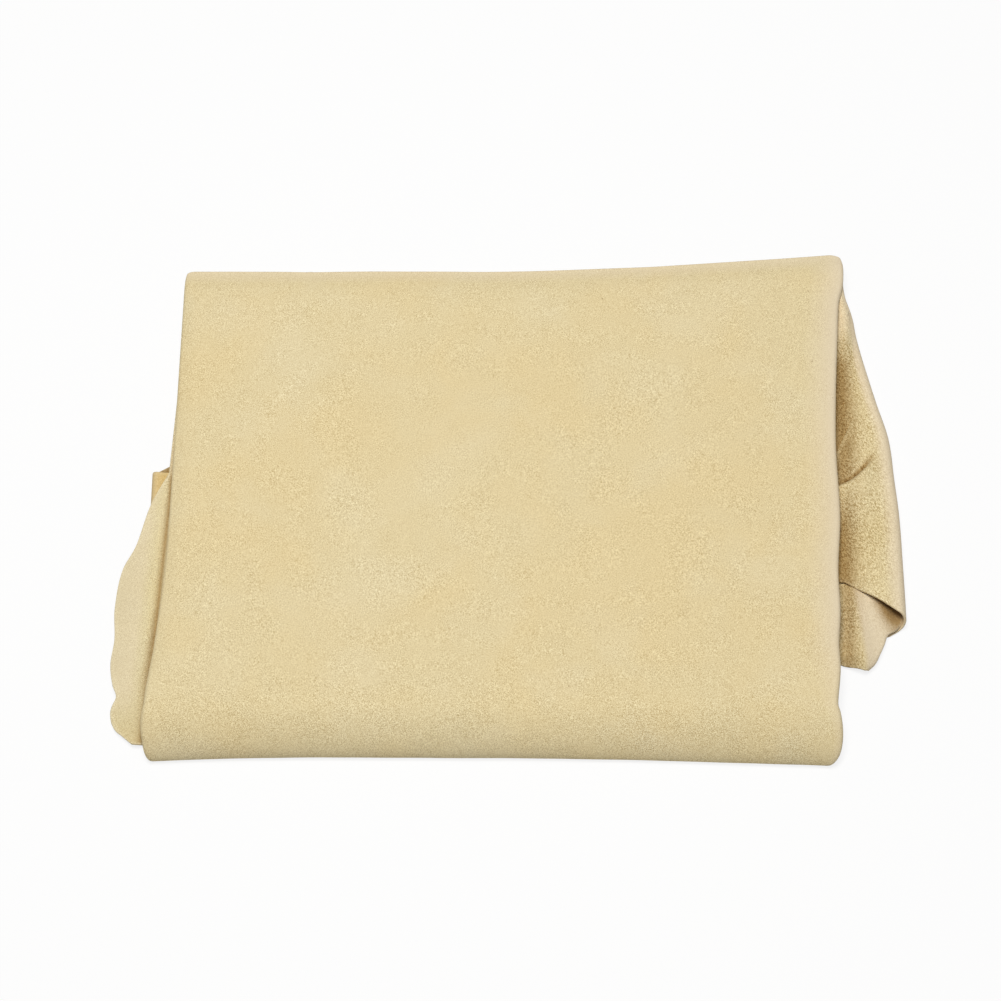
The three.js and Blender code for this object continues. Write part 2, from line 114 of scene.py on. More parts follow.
# The front roll: how far its ends stand out, in millimetres, from its foot (0 degrees) to its top (180)
ROLL_END_LEFT = [(0, -4), (60, -2.4), (90, -1), (108, -0.2), (128, 0.4), (150, 0.9), (180, 0.3)]
ROLL_END_RIGHT = [(0, -4.5), (70, -2.6), (93, -0.9), (115, 1.2), (145, 1.8), (180, 0.6)]
ROLL_SKEW_RIGHT = 3.6 * MM
ROLL_FULLNESS = -0.9 * MM
ROLL_SKEW_LEFT = 1.4 * MM
ROLL_SKEW_LEFT_LENGTH = 50 * MM
ROLL_STEPS = 60
FOOT_TURN = 0.2
FOOT_TURN_END = 60
ROLL_NOSE_Z = 2.6 * MM
INNER_NOSE_Z = 4.8 * MM
ROLL_LEAD = 10.3 * MM
ROLL_SLACK = 1.6
SAG_LENGTH = 28 * MM

# The linings and the middle and base panels
LINING_COLUMNS = 120
LINING_ROWS = 100
LINING_ROLL_STEPS = 40
LINING_NOSE_INSET = 3 * MM
LINING_FOOT_INSET = 4 * MM
BACK_FOLD_STEPS = 30
BASE_SETBACK = 24 * MM
BASE_SIDE_INSET = 4.3 * MM
MIDDLE_LEFT_INSET = 5.8 * MM
SEAM = 0.3 * MM
FLAP_STRIP = 14 * MM
LEG_STRIP = 8 * MM

# The left flap: its spans are shares of its length, from its back end to its front end
FLAP_LENGTH = 113 * MM
FLAP_BACK_END = 12 * MM
FLAP_REACH = 16.2 * MM
FLAP_STEP = 0.9 * MM
FLAP_COLUMNS = 40
FLAP_DROOP = 4.2 * MM
FLAP_BEND = 1.6
FLAP_RIPPLE = 0.5 * MM
FLAP_RIPPLES = 4.5
FLAP_WAVE = 0.25 * MM
FLAP_WAVE_GROWTH = 3
FLAP_VALLEY = 1.7 * MM
FLAP_VALLEY_WIDTH = 1.5 * MM
FLAP_VALLEY_SPAN = (0.02, 0.15)
FLAP_END_ROUND = 2.2 * MM
FLAP_END_START = 1 * MM
FLAP_END_SHARE = 0.6
FLAP_END_SPAN = (0.9, 1)
# Painted shadow along the flap's root, under the panel's edge
FLAP_ROOT_SHADE = 0.95
FLAP_ROOT_SHADE_BACK = 1.2 * MM
FLAP_ROOT_SHADE_FRONT = 2.6 * MM
FLAP_ROOT_SHADE_SPAN = (0.45, 0.8)
FLAP_END_SHADE = 0.15
FLAP_END_SHADE_SPAN = (0.85, 1)
FLAP_WORN = 0.5
FLAP_WORN_OUT = (2 * MM, 8 * MM)
FLAP_WORN_END = (0.8, 0.95)
FLAP_ROOT_OFFSET = 0.8 * MM
FLAP_ROOT_SLOPE = 0.0532
FLAP_EDGE = [
    (0, 0), (0.11, 0.35), (0.27, 0.63), (0.36, 0.9), (0.5, 1), (0.62, 0.9), (0.71, 0.94),
    (0.79, 0.82), (0.832, 0.7), (0.865, 0.785), (0.89, 0.81), (0.94, 0.72), (0.98, 0.54), (1, 0.24),
]

# The left tuck
TUCK_REACH = 13 * MM
TUCK_LENGTH = 13.4 * MM
TUCK_FRONT_END = 0.6 * MM
TUCK_SLANT = 7.4 * MM
TUCK_LAP = 1.2 * MM
TUCK_HEIGHT = 4.9 * MM
TUCK_TURN = (0.4, 0.6)
TUCK_COLUMNS = 60
TUCK_ROWS = 24
TUCK_SOFTENING = 2
TUCK_SHADE = 0.3
TUCK_SHADE_WIDTH = 5 * MM
TUCK_WORN = 0.3
TUCK_WORN_START = 0.6

# The right leg: columns are the steps inside its root, out, round and back underneath,
# rows are (start, end, steps) in shares of its length, and spans in millimetres are places in plan
LEG_LENGTH = 150 * MM
LEG_FRONT_END = -52 * MM
LEG_REACH = 25 * MM
LEG_COLUMNS = (10, 40, 22, 8)
LEG_ROWS = [(0, 0.32, 45), (0.32, 0.6, 115), (0.6, 1, 65)]
LEG_RISE = 2.8 * MM
LEG_RISE_LEAST = 0.25
LEG_RISE_WIDTH = 3.2 * MM
LEG_RISE_SPAN = (58 * MM, 78 * MM)
LEG_BACK_TUCK = 2.9 * MM
LEG_BACK_TUCK_START = 80 * MM
LEG_BIGHT_SHARE = 0.35
LEG_TURN = (0.58, 0.82)
LEG_LIP = 8 * MM
LEG_CUT = 24.2 * MM
LEG_CUT_SHARE = 0.88
LEG_CUT_LEAD = 17.7 * MM
LEG_CUT_BEND = 1.1
LEG_DROOP = 0.5 * MM
LEG_WAVE = 0.12 * MM
LEG_WAVE_START = 5 * MM
LEG_VALLEY_FRONT = 1.3 * MM
LEG_VALLEY_BACK = 2.8 * MM
LEG_VALLEY_PLACE = 1 * MM
LEG_VALLEY_WIDTH = 6 * MM
LEG_VALLEY_SPAN = (-5 * MM, 25 * MM)
LEG_VALLEY_FADE = 35 * MM
LEG_MOUTH_LIFT = 1.8 * MM
LEG_MOUTH_LIFT_OUT = (5 * MM, 17 * MM)
LEG_MOUTH_SEAT = 0.9 * MM
LEG_MOUTH_SEAT_OUT = (4 * MM, 14 * MM)
LEG_MOUTH_LENGTH = 0.2
LEG_ROOT_OFFSET = 3.2 * MM
LEG_ROOT_SLOPE = 0.0477
LEG_EDGE = [
    (0, 0.985), (0.127, 0.955), (0.3, 0.9), (0.413, 0.825), (0.533, 0.74),
    (0.65, 0.535), (0.829, 0.25), (0.923, 0.135), (1, 0.06),
]

# Shade and wear of the leg: pairs are values below and above its shade's span
LEG_SHADE = [(-36, 1.05), (-14, 1), (0, 0.75), (10, 0.9), (43, 1.05), (60, 1), (72, 0.3), (84, 0.05)]
LEG_SHADE_SPAN = (25 * MM, 60 * MM)
LEG_SHADE_PLACE = (-0.5 * MM, -1.5 * MM)
LEG_SHADE_WIDTH = (6.4 * MM, 5.6 * MM)
LEG_CREST_LIGHT = 0.7
LEG_WORN_START = 0.72 * LEG_TURN[0]
LEG_WORN_END = 1.1 * LEG_TURN[0]
LEG_WORN_TIP = 0.7
LEG_WORN_TIP_SPAN = (68 * MM, 82 * MM)

# The leg's pleats: (place at the root, advance for each metre out, its bend, run, rise);
# they lie on its upper side, which ends at a turn in radians, and their shade is told in pleat widths
LEG_PLEAT = (7 * MM, 0.45, 36, 12 * MM, 4.4 * MM)
LEG_CREASE = (27 * MM, 2.2, 0, 4.5 * MM, 1.4 * MM)
PLEAT_WIDTH = 0.8 * MM
PLEAT_OVERHANG = 1.3 * MM
PLEAT_SPREAD = 14 * MM
PLEAT_SINK = 0.2
PLEAT_FADE = (0.6, 1.25)
PLEAT_ROOT = (-7 * MM, -1 * MM)
PLEAT_SHADE = 1.25
PLEAT_SHADE_PLACE = 2.5
PLEAT_SHADE_WIDTH = 3
PLEAT_PROUD_WIDTH = 8
UPPER_TURN = 1

# The tab in the leg's open end
TAB_LENGTH = 52 * MM
TAB_FRONT_END = -70.5 * MM
TAB_COLUMNS = (8, 32, 12, 5)
TAB_ROWS = 90
TAB_ROW_CROWDING = 1.3
TAB_SLANT = 2.8 * MM
TAB_SLANT_REACH = 9.2 * MM
TAB_REACH = 22.3 * MM
TAB_TURN = (0.68, 0.84)
TAB_LIP = 5 * MM
TAB_DROOP = 0.9 * MM
TAB_BIGHT = 0.95 * MM
TAB_LIP_SETBACK = 5 * MM
TAB_LIP_FADE = 4
TAB_CORNER_ROUND = 1 * MM
TAB_CORNER_START = 0.7
TAB_CORNER_FADE = 8
TAB_END_DROOP = 2.4 * MM
TAB_END_LENGTH = 0.12
TAB_RISE_IN_LEG = 1.1 * MM
TAB_RISE_SPAN = (-50 * MM, -38 * MM)
TAB_RISE_OUT = (8 * MM, 18 * MM)
TAB_VALLEY = 1.3 * MM
TAB_VALLEY_PLACE = 1 * MM
TAB_RIDGE = 1.5 * MM
TAB_RIDGE_PLACE = 8 * MM
TAB_RIDGE_WIDTH = 4 * MM
TAB_RIDGE_DRIFT = 0.16
TAB_RIDGE_IN_LEG = 0.5
TAB_RIDGE_SPAN = (-58 * MM, -38 * MM)
TAB_SHADE = 0.75
TAB_SHADE_PLACE = 2 * MM
TAB_SHADE_WIDTH = 4.5 * MM
TAB_WORN_WIDTH = 3 * MM
TAB_EDGE = [
    (0, 0.5), (0.037, 0.59), (0.108, 0.66), (0.194, 0.735), (0.28, 0.805),
    (0.33, 0.97), (0.39, 1.05), (0.55, 0.98), (0.75, 0.9), (1, 0.85),
]
LIP_SHARE = 0.6

# The shade in the leg's mouth, behind a slanted line
MOUTH_SHADE_REACH = 11.2 * MM
MOUTH_SHADE_SLOPE = 0.43
MOUTH_SHADE_Y = -40.5 * MM
MOUTH_SHADE_EDGE = (-3 * MM, 5.5 * MM)
MOUTH_SHADE_START = (-61 * MM, -55 * MM)
MOUTH_SHADE_DEPTH = (0.5, 1.4)
MOUTH_SHADE_DEEPENING = (-57 * MM, -46 * MM)
MOUTH_SHADE_LOST = 0.8
MOUTH_SHADE_LOST_TURN = 1.2

# Waves of the loose margins
MARGIN_WAVE_SIZE = 22 * MM
FLAP_WAVE_SEED = 5
LEG_WAVE_SEED = 8

# Heights and folds, read from the frame
ROLL_LOW, ROLL_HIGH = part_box("front_fold_outer")
ROLL_RADIUS = (ROLL_HIGH.z - ROLL_LOW.z - SKIN) / 2
ROLL_Y = -PANEL_DEPTH / 2
Z_ROLL_FOOT = ROLL_LOW.z + SKIN / 2
Z_TOP_UPPER = ROLL_HIGH.z - SKIN / 2
Z_TOP_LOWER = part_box("top_lower_ply")[0].z + SKIN / 2
Z_MIDDLE_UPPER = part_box("middle_upper_ply")[1].z - SKIN / 2
Z_MIDDLE_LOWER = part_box("middle_lower_ply")[1].z - SKIN / 2
Z_BASE_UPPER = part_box("base_upper_ply")[1].z - SKIN / 2
Z_BASE_LOWER = SKIN / 2
PITCH = Z_MIDDLE_UPPER - Z_MIDDLE_LOWER
INNER_ROLL_RADIUS = ROLL_RADIUS - PITCH
TOP_RIM = (Z_TOP_UPPER - Z_TOP_LOWER) / 2
BASE_RIM = PITCH / 2
BACK_FOLD_Z = (Z_MIDDLE_UPPER + Z_BASE_LOWER) / 2
BACK_FOLD_RADIUS = (Z_MIDDLE_UPPER - Z_BASE_LOWER) / 2
INNER_BACK_FOLD_RADIUS = (Z_MIDDLE_LOWER - Z_BASE_UPPER) / 2

# The middle of the top panel, in the frame: the fold axes lie on the outside of their folds
FRONT_AXIS = Vector(JOINTS["front_fold"]["pos_m"])
BACK_AXIS = Vector(JOINTS["back_fold"]["pos_m"])
PLAN_ORIGIN = np.array([FRONT_AXIS.x, FRONT_AXIS.y + ROLL_RADIUS - ROLL_Y, 0])
BACK_FOLD_Y = BACK_AXIS.y - BACK_FOLD_RADIUS - PLAN_ORIGIN[1]

# Suede colours, as seen in plain light, except DEEP_TAN and DARK_TAN, which are painted shade for folds,
# hollows and the leg's mouth; DEEP_TAN also tints the back
CREAM = (226, 211, 170)
WARM_CREAM = (228, 208, 160)
PALE_CREAM = (229, 217, 182)
PALE_BACK = (223, 211, 172)
PALE_BACK_WARM = (222, 206, 156)
TAN = (214, 193, 141)
DEEP_TAN = (156, 126, 76)
DARK_TAN = (112, 86, 50)
OCHRE = (214, 183, 119)
RAW_RIM = (238, 226, 192)
WORN = (234, 220, 194)
SPECK = (150, 118, 74)
SHEEN_TINT = (255, 240, 222)

# The nap: (lean in degrees, strokes in a metre), how long the strokes are for their width, and its patches
NAP_FINE = (42, 4000)
NAP_CROSSING = (-35, 4500)
NAP_COARSE = (38, 2200)
NAP_STROKE = 2.0
NAP_DISTORTION = 0.2
NAP_PATCHES = {"scale": 90, "detail": 2}
NAP_PATCH_RANGE = (0.36, 0.60, 0.62, 1.0)
NAP_HEIGHT = 0.32
NAP_STANDING = 1.7
NAP_WORN = 0.3
NAP_IN_PAINTED_SHADE = 1.8
NOISE_MIDDLE = 0.5

# Mottling and pores, with scales counted in a metre
WARM_CLOUDS = {"scale": 24, "detail": 2.5, "distortion": 0.4}
WARM_RANGE = (0.40, 0.66)
PALE_CLOUDS = {"scale": 34, "detail": 2.5, "distortion": 0.3}
PALE_RANGE = (0.46, 0.70)
PALE_SHIFT = (0.37, 0.11, 0.05)
MOTTLING = 0.45
PORE_CELLS = 130
PORE_EDGE = (0.03, 0.075)
PORELESS_SHARE = 0.93

# How strongly each colour shows, including the painted shade, and the sheen
WORN_SHARE = 0.85
PAINTED_SHADE_SHARE = 0.9
DEEP_PAINTED_SHADE = (1.0, 1.6)
DEEP_PAINTED_SHADE_SHARE = 0.8
RAW_RIM_START = 0.45
SPECK_SHARE = 0.5
HOLLOW_TINT = (0.85, 1.1, 1.5)
TIP_TINT = (0.9, 1, 1.15)
HOLLOW_ROUGHNESS = 0.98
TIP_ROUGHNESS = 0.86
SPECULAR = 0.15
SHEEN = 0.06
SHEEN_ROUGHNESS = 0.45

# The finishes: their plain, warm and pale colours, and how their nap, back and raw edges differ; the back's
# tan is partly the skin's own colour and partly painted shade inside the leg's mouth
FINISHES = {
    "cream_suede": {
        "colors": (CREAM, WARM_CREAM, PALE_CREAM), "grain": 1.0, "coarse": 0.1,
        "nap_depth": 0.1 * MM, "tip_contrast": 0.35, "back_tan_and_shade": 0.0, "rim_light": 0.5,
    },
    "pale_suede": {
        "colors": (PALE_BACK, PALE_BACK_WARM, PALE_CREAM), "grain": 1.0, "coarse": 0.1,
        "nap_depth": 0.1 * MM, "tip_contrast": 0.35, "back_tan_and_shade": 0.0, "rim_light": 0.5,
    },
    "tan_suede": {
        "colors": (CREAM, TAN, PALE_CREAM), "grain": 0.9, "coarse": 1.1,
        "nap_depth": 0.14 * MM, "tip_contrast": 0.42, "back_tan_and_shade": 0.55, "rim_light": 0.12,
    },
    "ochre_suede": {
        "colors": (OCHRE, TAN, PALE_BACK_WARM), "grain": 0.9, "coarse": 0.5,
        "nap_depth": 0.1 * MM, "tip_contrast": 0.22, "back_tan_and_shade": 0.6, "rim_light": 0.2,
    },
}

# The studio and the photograph's view
CAMERA_ELEVATION = math.radians(66)
CAMERA_DISTANCE = 1.1
CAMERA_LENS = 98.9
CAMERA_SENSOR = 36
CAMERA_TARGET = (-1.2 * MM, 0, 8 * MM)
WHITE = (1, 1, 1, 1)
FLOOR_HALF = 4.0
FLOOR_COLOR = (0.78, 0.78, 0.78, 1)
FLOOR_GLOW = 1.04
FLOOR_GLOW_SHARE = 0.8
FILL_COLOR = (0.96, 0.98, 1, 1)
FILL_STRENGTH = 0.17
KEY_LIGHT = {"place": (-0.1, 0.04, 1.4), "size": 0.5, "power": 16.9, "color": (1, 0.99, 0.97)}


# Small tools for shapes

def mix(a, b, t):
    return a + (b - a) * t


def eased(place, start, end):
    t = np.clip((place - start) / (end - start), 0, 1)
    return t * t * (3 - 2 * t)


def bell(place, width):
    return np.exp(-((place / width) ** 2))


def smooth_curve(points):
    """A smooth curve through a few (place, value) points, read at any places."""
    places, values = np.array(points, float).T
    count = len(places)
    before = np.maximum(np.arange(count) - 1, 0)
    after = np.minimum(np.arange(count) + 1, count - 1)
    slopes = (values[after] - values[before]) / (places[after] - places[before])

    def read(place):
        i = np.clip(np.searchsorted(places, place) - 1, 0, count - 2)
        span = places[i + 1] - places[i]
        t = np.clip((place - places[i]) / span, 0, 1)
        ease = t * t * (3 - 2 * t)
        leave = t * (1 - t) ** 2 * span * slopes[i]
        arrive = t * t * (t - 1) * span * slopes[i + 1]
        return values[i] + (values[i + 1] - values[i]) * ease + leave + arrive

    return read


def waviness(points, size, seed):
    """Soft random waves of a given size, between about -1 and 1, at each point."""
    shift = Vector([seed * step for step in WAVE_SHIFT])
    flat = points.reshape(-1, 3) / size
    waves = [noise.noise(Vector(place) + shift) for place in flat]
    return np.array(waves).reshape(points.shape[:-1])


def steps_between(start, end, step):
    return np.linspace(start, end, max(int(round(abs(end - start) / step)), 1) + 1)


def grid_of(x, y, z):
    """A grid of points, from coordinates that may vary along rows, along columns or both."""
    return np.stack(np.broadcast_arrays(x, y, z), axis=-1)


def placed(name, data):
    """A new object in the scene, at the origin, for a mesh, a lamp or a camera."""
    thing = bpy.data.objects.new(name, data)
    bpy.context.scene.collection.objects.link(thing)
    return thing


def relaxed(grid, rounds):
    """The grid with its sharp turns softened, and its outer rows and columns kept."""
    grid = grid.copy()
    for _ in range(rounds):
        soft = grid.copy()
        soft[:, 1:-1] = (grid[:, :-2] + 2 * grid[:, 1:-1] + grid[:, 2:]) / 4
        grid = soft.copy()
        grid[1:-1] = (soft[:-2] + 2 * soft[1:-1] + soft[2:]) / 4
    return grid


# The skin's outlines and heights in plan

def panel_left(y):
    return -PANEL_WIDTH / 2 - smooth_curve(LEFT_EDGE)(-y / MM) * MM


def panel_right(y):
    return PANEL_WIDTH / 2 + smooth_curve(RIGHT_EDGE)(y / MM) * MM


def panel_back(x):
    return PANEL_DEPTH / 2 + BACK_SKEW * np.maximum(2 * x / PANEL_WIDTH, 0) ** SKEW_BEND


def flap_root(y):
    return -PANEL_WIDTH / 2 - FLAP_ROOT_OFFSET - FLAP_ROOT_SLOPE * (FLAP_BACK_END - y)


def leg_root(y):
    return PANEL_WIDTH / 2 + LEG_ROOT_OFFSET + LEG_ROOT_SLOPE * y


def roll_ease(y):
    return eased(y, ROLL_Y, ROLL_Y + SAG_LENGTH)


def middle_lower_z(y):
    return mix(Z_ROLL_FOOT, Z_MIDDLE_LOWER, roll_ease(y))


def middle_upper_z(y):
    return mix(Z_ROLL_FOOT + PITCH, Z_MIDDLE_UPPER, roll_ease(y))


def top_lower_z(y):
    return mix(Z_TOP_UPPER - PITCH, Z_TOP_LOWER, roll_ease(y - ROLL_LEAD))


# A sheet of leather with a real thickness and rounded raw edges

def sheet_normals(grid):
    along = np.gradient(grid, axis=1)
    across = np.gradient(grid, axis=0)
    normals = np.cross(along, across)
    return normals / np.linalg.norm(normals, axis=-1, keepdims=True)


def boundary_cells(rows, columns):
    """The grid's outer cells, in order round it."""
    front = [(0, c) for c in range(columns - 1)]
    right = [(r, columns - 1) for r in range(rows - 1)]
    back = [(rows - 1, c) for c in range(columns - 1, 0, -1)]
    left = [(r, 0) for r in range(rows - 1, 0, -1)]
    return front + right + back + left


def edge_distance(grid, raw_sides):
    """How far each point lies from the nearest raw edge, over the skin."""
    rows, columns = grid.shape[:2]
    nearest = np.full((rows, columns), np.inf)
    across = np.linalg.norm(np.diff(grid, axis=0), axis=-1)
    along = np.linalg.norm(np.diff(grid, axis=1), axis=-1)
    from_front = np.concatenate([np.zeros((1, columns)), np.cumsum(across, axis=0)])
    from_left = np.concatenate([np.zeros((rows, 1)), np.cumsum(along, axis=1)], axis=1)
    reach = {
        "front": from_front,
        "back": from_front[-1:] - from_front,
        "left": from_left,
        "right": from_left[:, -1:] - from_left,
    }
    for side in raw_sides:
        nearest = np.minimum(nearest, reach[side])
    return nearest


def ways_out(grid, normals, cells, raw_sides):
    """The way out over the edge at each outer cell: a unit vector at a raw edge, and zero at a seam."""
    rows, columns = grid.shape[:2]
    out = np.zeros((len(cells), 3))
    for i, (r, c) in enumerate(cells):
        sides = {"front": r == 0, "back": r == rows - 1, "left": c == 0, "right": c == columns - 1}
        raw = {side for side in raw_sides if sides[side]}
        ways = []
        if raw & {"front", "back"}:
            ways.append(grid[r, c] - grid[min(max(r, 1), rows - 2), c])
        if raw & {"left", "right"}:
            ways.append(grid[r, c] - grid[r, min(max(c, 1), columns - 2)])
        for way in ways:
            way = way - normals[r, c] * np.dot(way, normals[r, c])
            out[i] += way / max(np.linalg.norm(way), TINY)
        out[i] /= max(np.linalg.norm(out[i]), 1)
    return out


def sheet_points(grid, normals, edge, out):
    """Points of the face, of the back and of the rings round the edge, moved to the frame."""
    half = SKIN / 2
    points = [(grid + normals * half).reshape(-1, 3), (grid - normals * half).reshape(-1, 3)]
    for angle in EDGE_RING:
        lean, rise = math.cos(math.radians(angle)), math.sin(math.radians(angle))
        points.append(grid[edge] + half * (lean * out + rise * normals[edge]))
    return np.concatenate(points) + PLAN_ORIGIN


def sheet_quads(top, rim):
    """Four-sided faces over the face, over the back and round the rings between them."""
    face = np.stack([top[:-1, :-1], top[:-1, 1:], top[1:, 1:], top[1:, :-1]], axis=-1).reshape(-1, 4)
    quads = [face, face[:, ::-1] + top.size]
    rings = [rim]
    for i in range(len(EDGE_RING)):
        rings.append(2 * top.size + i * len(rim) + np.arange(len(rim)))
    rings.append(rim + top.size)
    for upper, lower in zip(rings, rings[1:]):
        quads.append(np.stack([np.roll(upper, -1), upper, lower, np.roll(lower, -1)], axis=-1))
    return np.concatenate(quads)


def leather(name, grid, raw_sides, material, painted_shade=0, worn=0):
    """A closed sheet of skin round a grid of points at its middle; raw sides get a round edge."""
    normals = sheet_normals(grid)
    top = np.arange(grid[..., 0].size).reshape(grid.shape[:2])
    cells = boundary_cells(*top.shape)
    edge = tuple(np.array(cells).T)
    out = ways_out(grid, normals, cells, raw_sides)
    raw = np.linalg.norm(out, axis=1) > TINY
    points = sheet_points(grid, normals, edge, out)
    mesh = bpy.data.meshes.new(name)
    mesh.from_pydata(points.tolist(), [], sheet_quads(top, top[edge]).tolist())
    mesh.shade_smooth()

    plain = np.zeros(top.shape)
    frayed = np.clip(1 - edge_distance(grid, raw_sides) / RAW_EDGE_BAND, 0, 1)
    set_attribute(mesh, "raw_edge", frayed, frayed, raw)
    # painted shade: a mask that darkens folds, hollows and gaps where shade falls
    set_attribute(mesh, "painted_shade", plain + painted_shade, plain + painted_shade, (plain + painted_shade)[edge])
    set_attribute(mesh, "worn", plain + worn, plain + worn, (plain + worn)[edge])
    set_attribute(mesh, "skin_side", plain, plain + BACK_SIDE, plain[edge] + EDGE_SIDE)
    place = mesh.attributes.new("skin_place", "FLOAT_VECTOR", "POINT")
    place.data.foreach_set("vector", points.astype(np.float32).ravel())
    sharpen_seams(mesh, top[edge], top.size, raw)
    mesh.materials.append(material)
    piece = placed(name, mesh)
    return piece


def set_attribute(mesh, name, face, back, edge):
    """A value for each point: on the face, on the back, and round the edge."""
    values = np.concatenate([face.ravel(), back.ravel(), np.tile(edge, len(EDGE_RING))])
    attribute = mesh.attributes.new(name, "FLOAT", "POINT")
    attribute.data.foreach_set("value", values.astype(np.float32))


def sharpen_seams(mesh, rim, count, raw):
    """Cut seams keep a crisp corner, so the skin's shading runs on to the next piece."""
    seams = set()
    for a, b, both_raw in zip(rim, np.roll(rim, -1), raw & np.roll(raw, -1)):
        if not both_raw:
            seams.add((min(a, b), max(a, b)))
            seams.add((min(a, b) + count, max(a, b) + count))
    for edge in mesh.edges:
        a, b = edge.vertices
        if (min(a, b), max(a, b)) in seams:
            edge.use_edge_sharp = True


# Materials: shared suede effects as node groups, and one finish for each side of the skin

def linear(color):
    """A colour of 0 to 255 as seen, in the renderer's linear light."""
    channels = [value / 255 for value in color]
    return tuple(c / 12.92 if c <= 0.04045 else ((c + 0.055) / 1.055) ** 2.4 for c in channels) + (1,)


def new_group(name, inputs, outputs):
    """A shader group with sockets of the kinds named, and the nodes that it starts and ends with."""
    group = bpy.data.node_groups.new(name, "ShaderNodeTree")
    for way, sockets in (("INPUT", inputs), ("OUTPUT", outputs)):
        for label, kind in sockets.items():
            group.interface.new_socket(label, in_out=way, socket_type="NodeSocket" + kind)
    start = group.nodes.new("NodeGroupInput")
    end = group.nodes.new("NodeGroupOutput")
    return group, start, end


def empty_tree(owner):
    """The emptied node tree of a material or of the world."""
    owner.use_nodes = True
    owner.node_tree.nodes.clear()
    return owner.node_tree


def add_node(tree, kind, links=(), **values):
    """A node with its settings, and its inputs linked or set by name or number."""
    node = tree.nodes.new(kind)
    sockets = values.pop("inputs", {})
    for key, value in values.items():
        setattr(node, key, value)
    for key, value in sockets.items():
        node.inputs[key].default_value = value
    for key, source in dict(links).items():
        tree.links.new(source, node.inputs[key])
    return node


def math_node(tree, operation, a, b, clamp=False):
    node = add_node(tree, "ShaderNodeMath", operation=operation, use_clamp=clamp)
    for socket, value in zip(node.inputs, (a, b)):
        if isinstance(value, (int, float)):
            socket.default_value = value
        else:
            tree.links.new(value, socket)
    return node.outputs[0]


def color_mix(tree, blend, factor, a, b):
    """Two colours mixed: a Mix node's colours come in at its sockets 6 and 7, and go out at 2."""
    node = add_node(tree, "ShaderNodeMix", data_type="RGBA", blend_type=blend)
    for socket, value in zip((node.inputs[0], node.inputs[6], node.inputs[7]), (factor, a, b)):
        if isinstance(value, (int, float, tuple)):
            socket.default_value = value
        else:
            tree.links.new(value, socket)
    return node.outputs[2]


def layered(tree, color, layers):
    """A colour with other colours laid over it, each through its mask."""
    for mask, over in layers:
        color = color_mix(tree, "MIX", mask, color, linear(over))
    return color


def range_node(tree, value, low, high, to_low=0.0, to_high=1.0):
    node = add_node(tree, "ShaderNodeMapRange", {"Value": value}, clamp=True)
    for socket, number in zip(node.inputs[1:5], (low, high, to_low, to_high)):
        socket.default_value = number
    return node.outputs[0]


def noise_node(tree, place, scale, detail, roughness=0.5, distortion=0.0):
    values = {"Scale": scale, "Detail": detail, "Roughness": roughness, "Distortion": distortion}
    return add_node(tree, "ShaderNodeTexNoise", {"Vector": place}, inputs=values).outputs["Fac"]


def brushed_noise(tree, place, lean, strokes):
    """Short strokes of nap, all leaning one way in plan."""
    turned = add_node(
        tree, "ShaderNodeMapping", {"Vector": place}, vector_type="TEXTURE",
        inputs={"Rotation": (0, 0, math.radians(lean)), "Scale": (1, NAP_STROKE, 1)},
    ).outputs[0]
    return noise_node(tree, turned, strokes, detail=1.0, distortion=NAP_DISTORTION)


def suede_nap_group():
    """Fine brushed nap: its height for bump, and its light and dark tips for colour."""
    inputs = {"Place": "Vector", "Grain": "Float", "Coarse": "Float"}
    group, start, end = new_group("suede_nap", inputs, {"Height": "Float", "Tips": "Float"})
    scaled = add_node(group, "ShaderNodeVectorMath", {0: start.outputs["Place"]}, operation="SCALE")
    group.links.new(start.outputs["Grain"], scaled.inputs["Scale"])
    place = scaled.outputs[0]
    layers = (NAP_FINE, NAP_CROSSING, NAP_COARSE)
    fine, crossing, coarse = [brushed_noise(group, place, lean, strokes) for lean, strokes in layers]
    nap = math_node(group, "ADD", fine, crossing)
    swing = math_node(group, "SUBTRACT", coarse, NOISE_MIDDLE)
    raised = math_node(group, "ADD", nap, math_node(group, "MULTIPLY", swing, start.outputs["Coarse"]))
    patches = range_node(group, noise_node(group, start.outputs["Place"], **NAP_PATCHES), *NAP_PATCH_RANGE)
    height = math_node(group, "MULTIPLY", math_node(group, "SUBTRACT", raised, 2 * NOISE_MIDDLE), patches)
    group.links.new(height, end.inputs["Height"])
    group.links.new(range_node(group, height, -NAP_HEIGHT, NAP_HEIGHT), end.inputs["Tips"])
    return group


def hide_mottling_group():
    """Cloudy warm and pale patches of a natural skin, a few centimetres wide."""
    inputs = {"Place": "Vector", "Plain": "Color", "Warm": "Color", "Pale": "Color", "Amount": "Float"}
    group, start, end = new_group("hide_mottling", inputs, {"Color": "Color"})
    place, amount = start.outputs["Place"], start.outputs["Amount"]
    clouds = range_node(group, noise_node(group, place, **WARM_CLOUDS), *WARM_RANGE)
    warm = math_node(group, "MULTIPLY", clouds, amount)
    shift = add_node(group, "ShaderNodeMapping", {"Vector": place}, inputs={"Location": PALE_SHIFT})
    bleached = range_node(group, noise_node(group, shift.outputs[0], **PALE_CLOUDS), *PALE_RANGE)
    pale = math_node(group, "MULTIPLY", bleached, amount)
    color = color_mix(group, "MIX", warm, start.outputs["Plain"], start.outputs["Warm"])
    color = color_mix(group, "MIX", pale, color, start.outputs["Pale"])
    group.links.new(color, end.inputs["Color"])
    return group


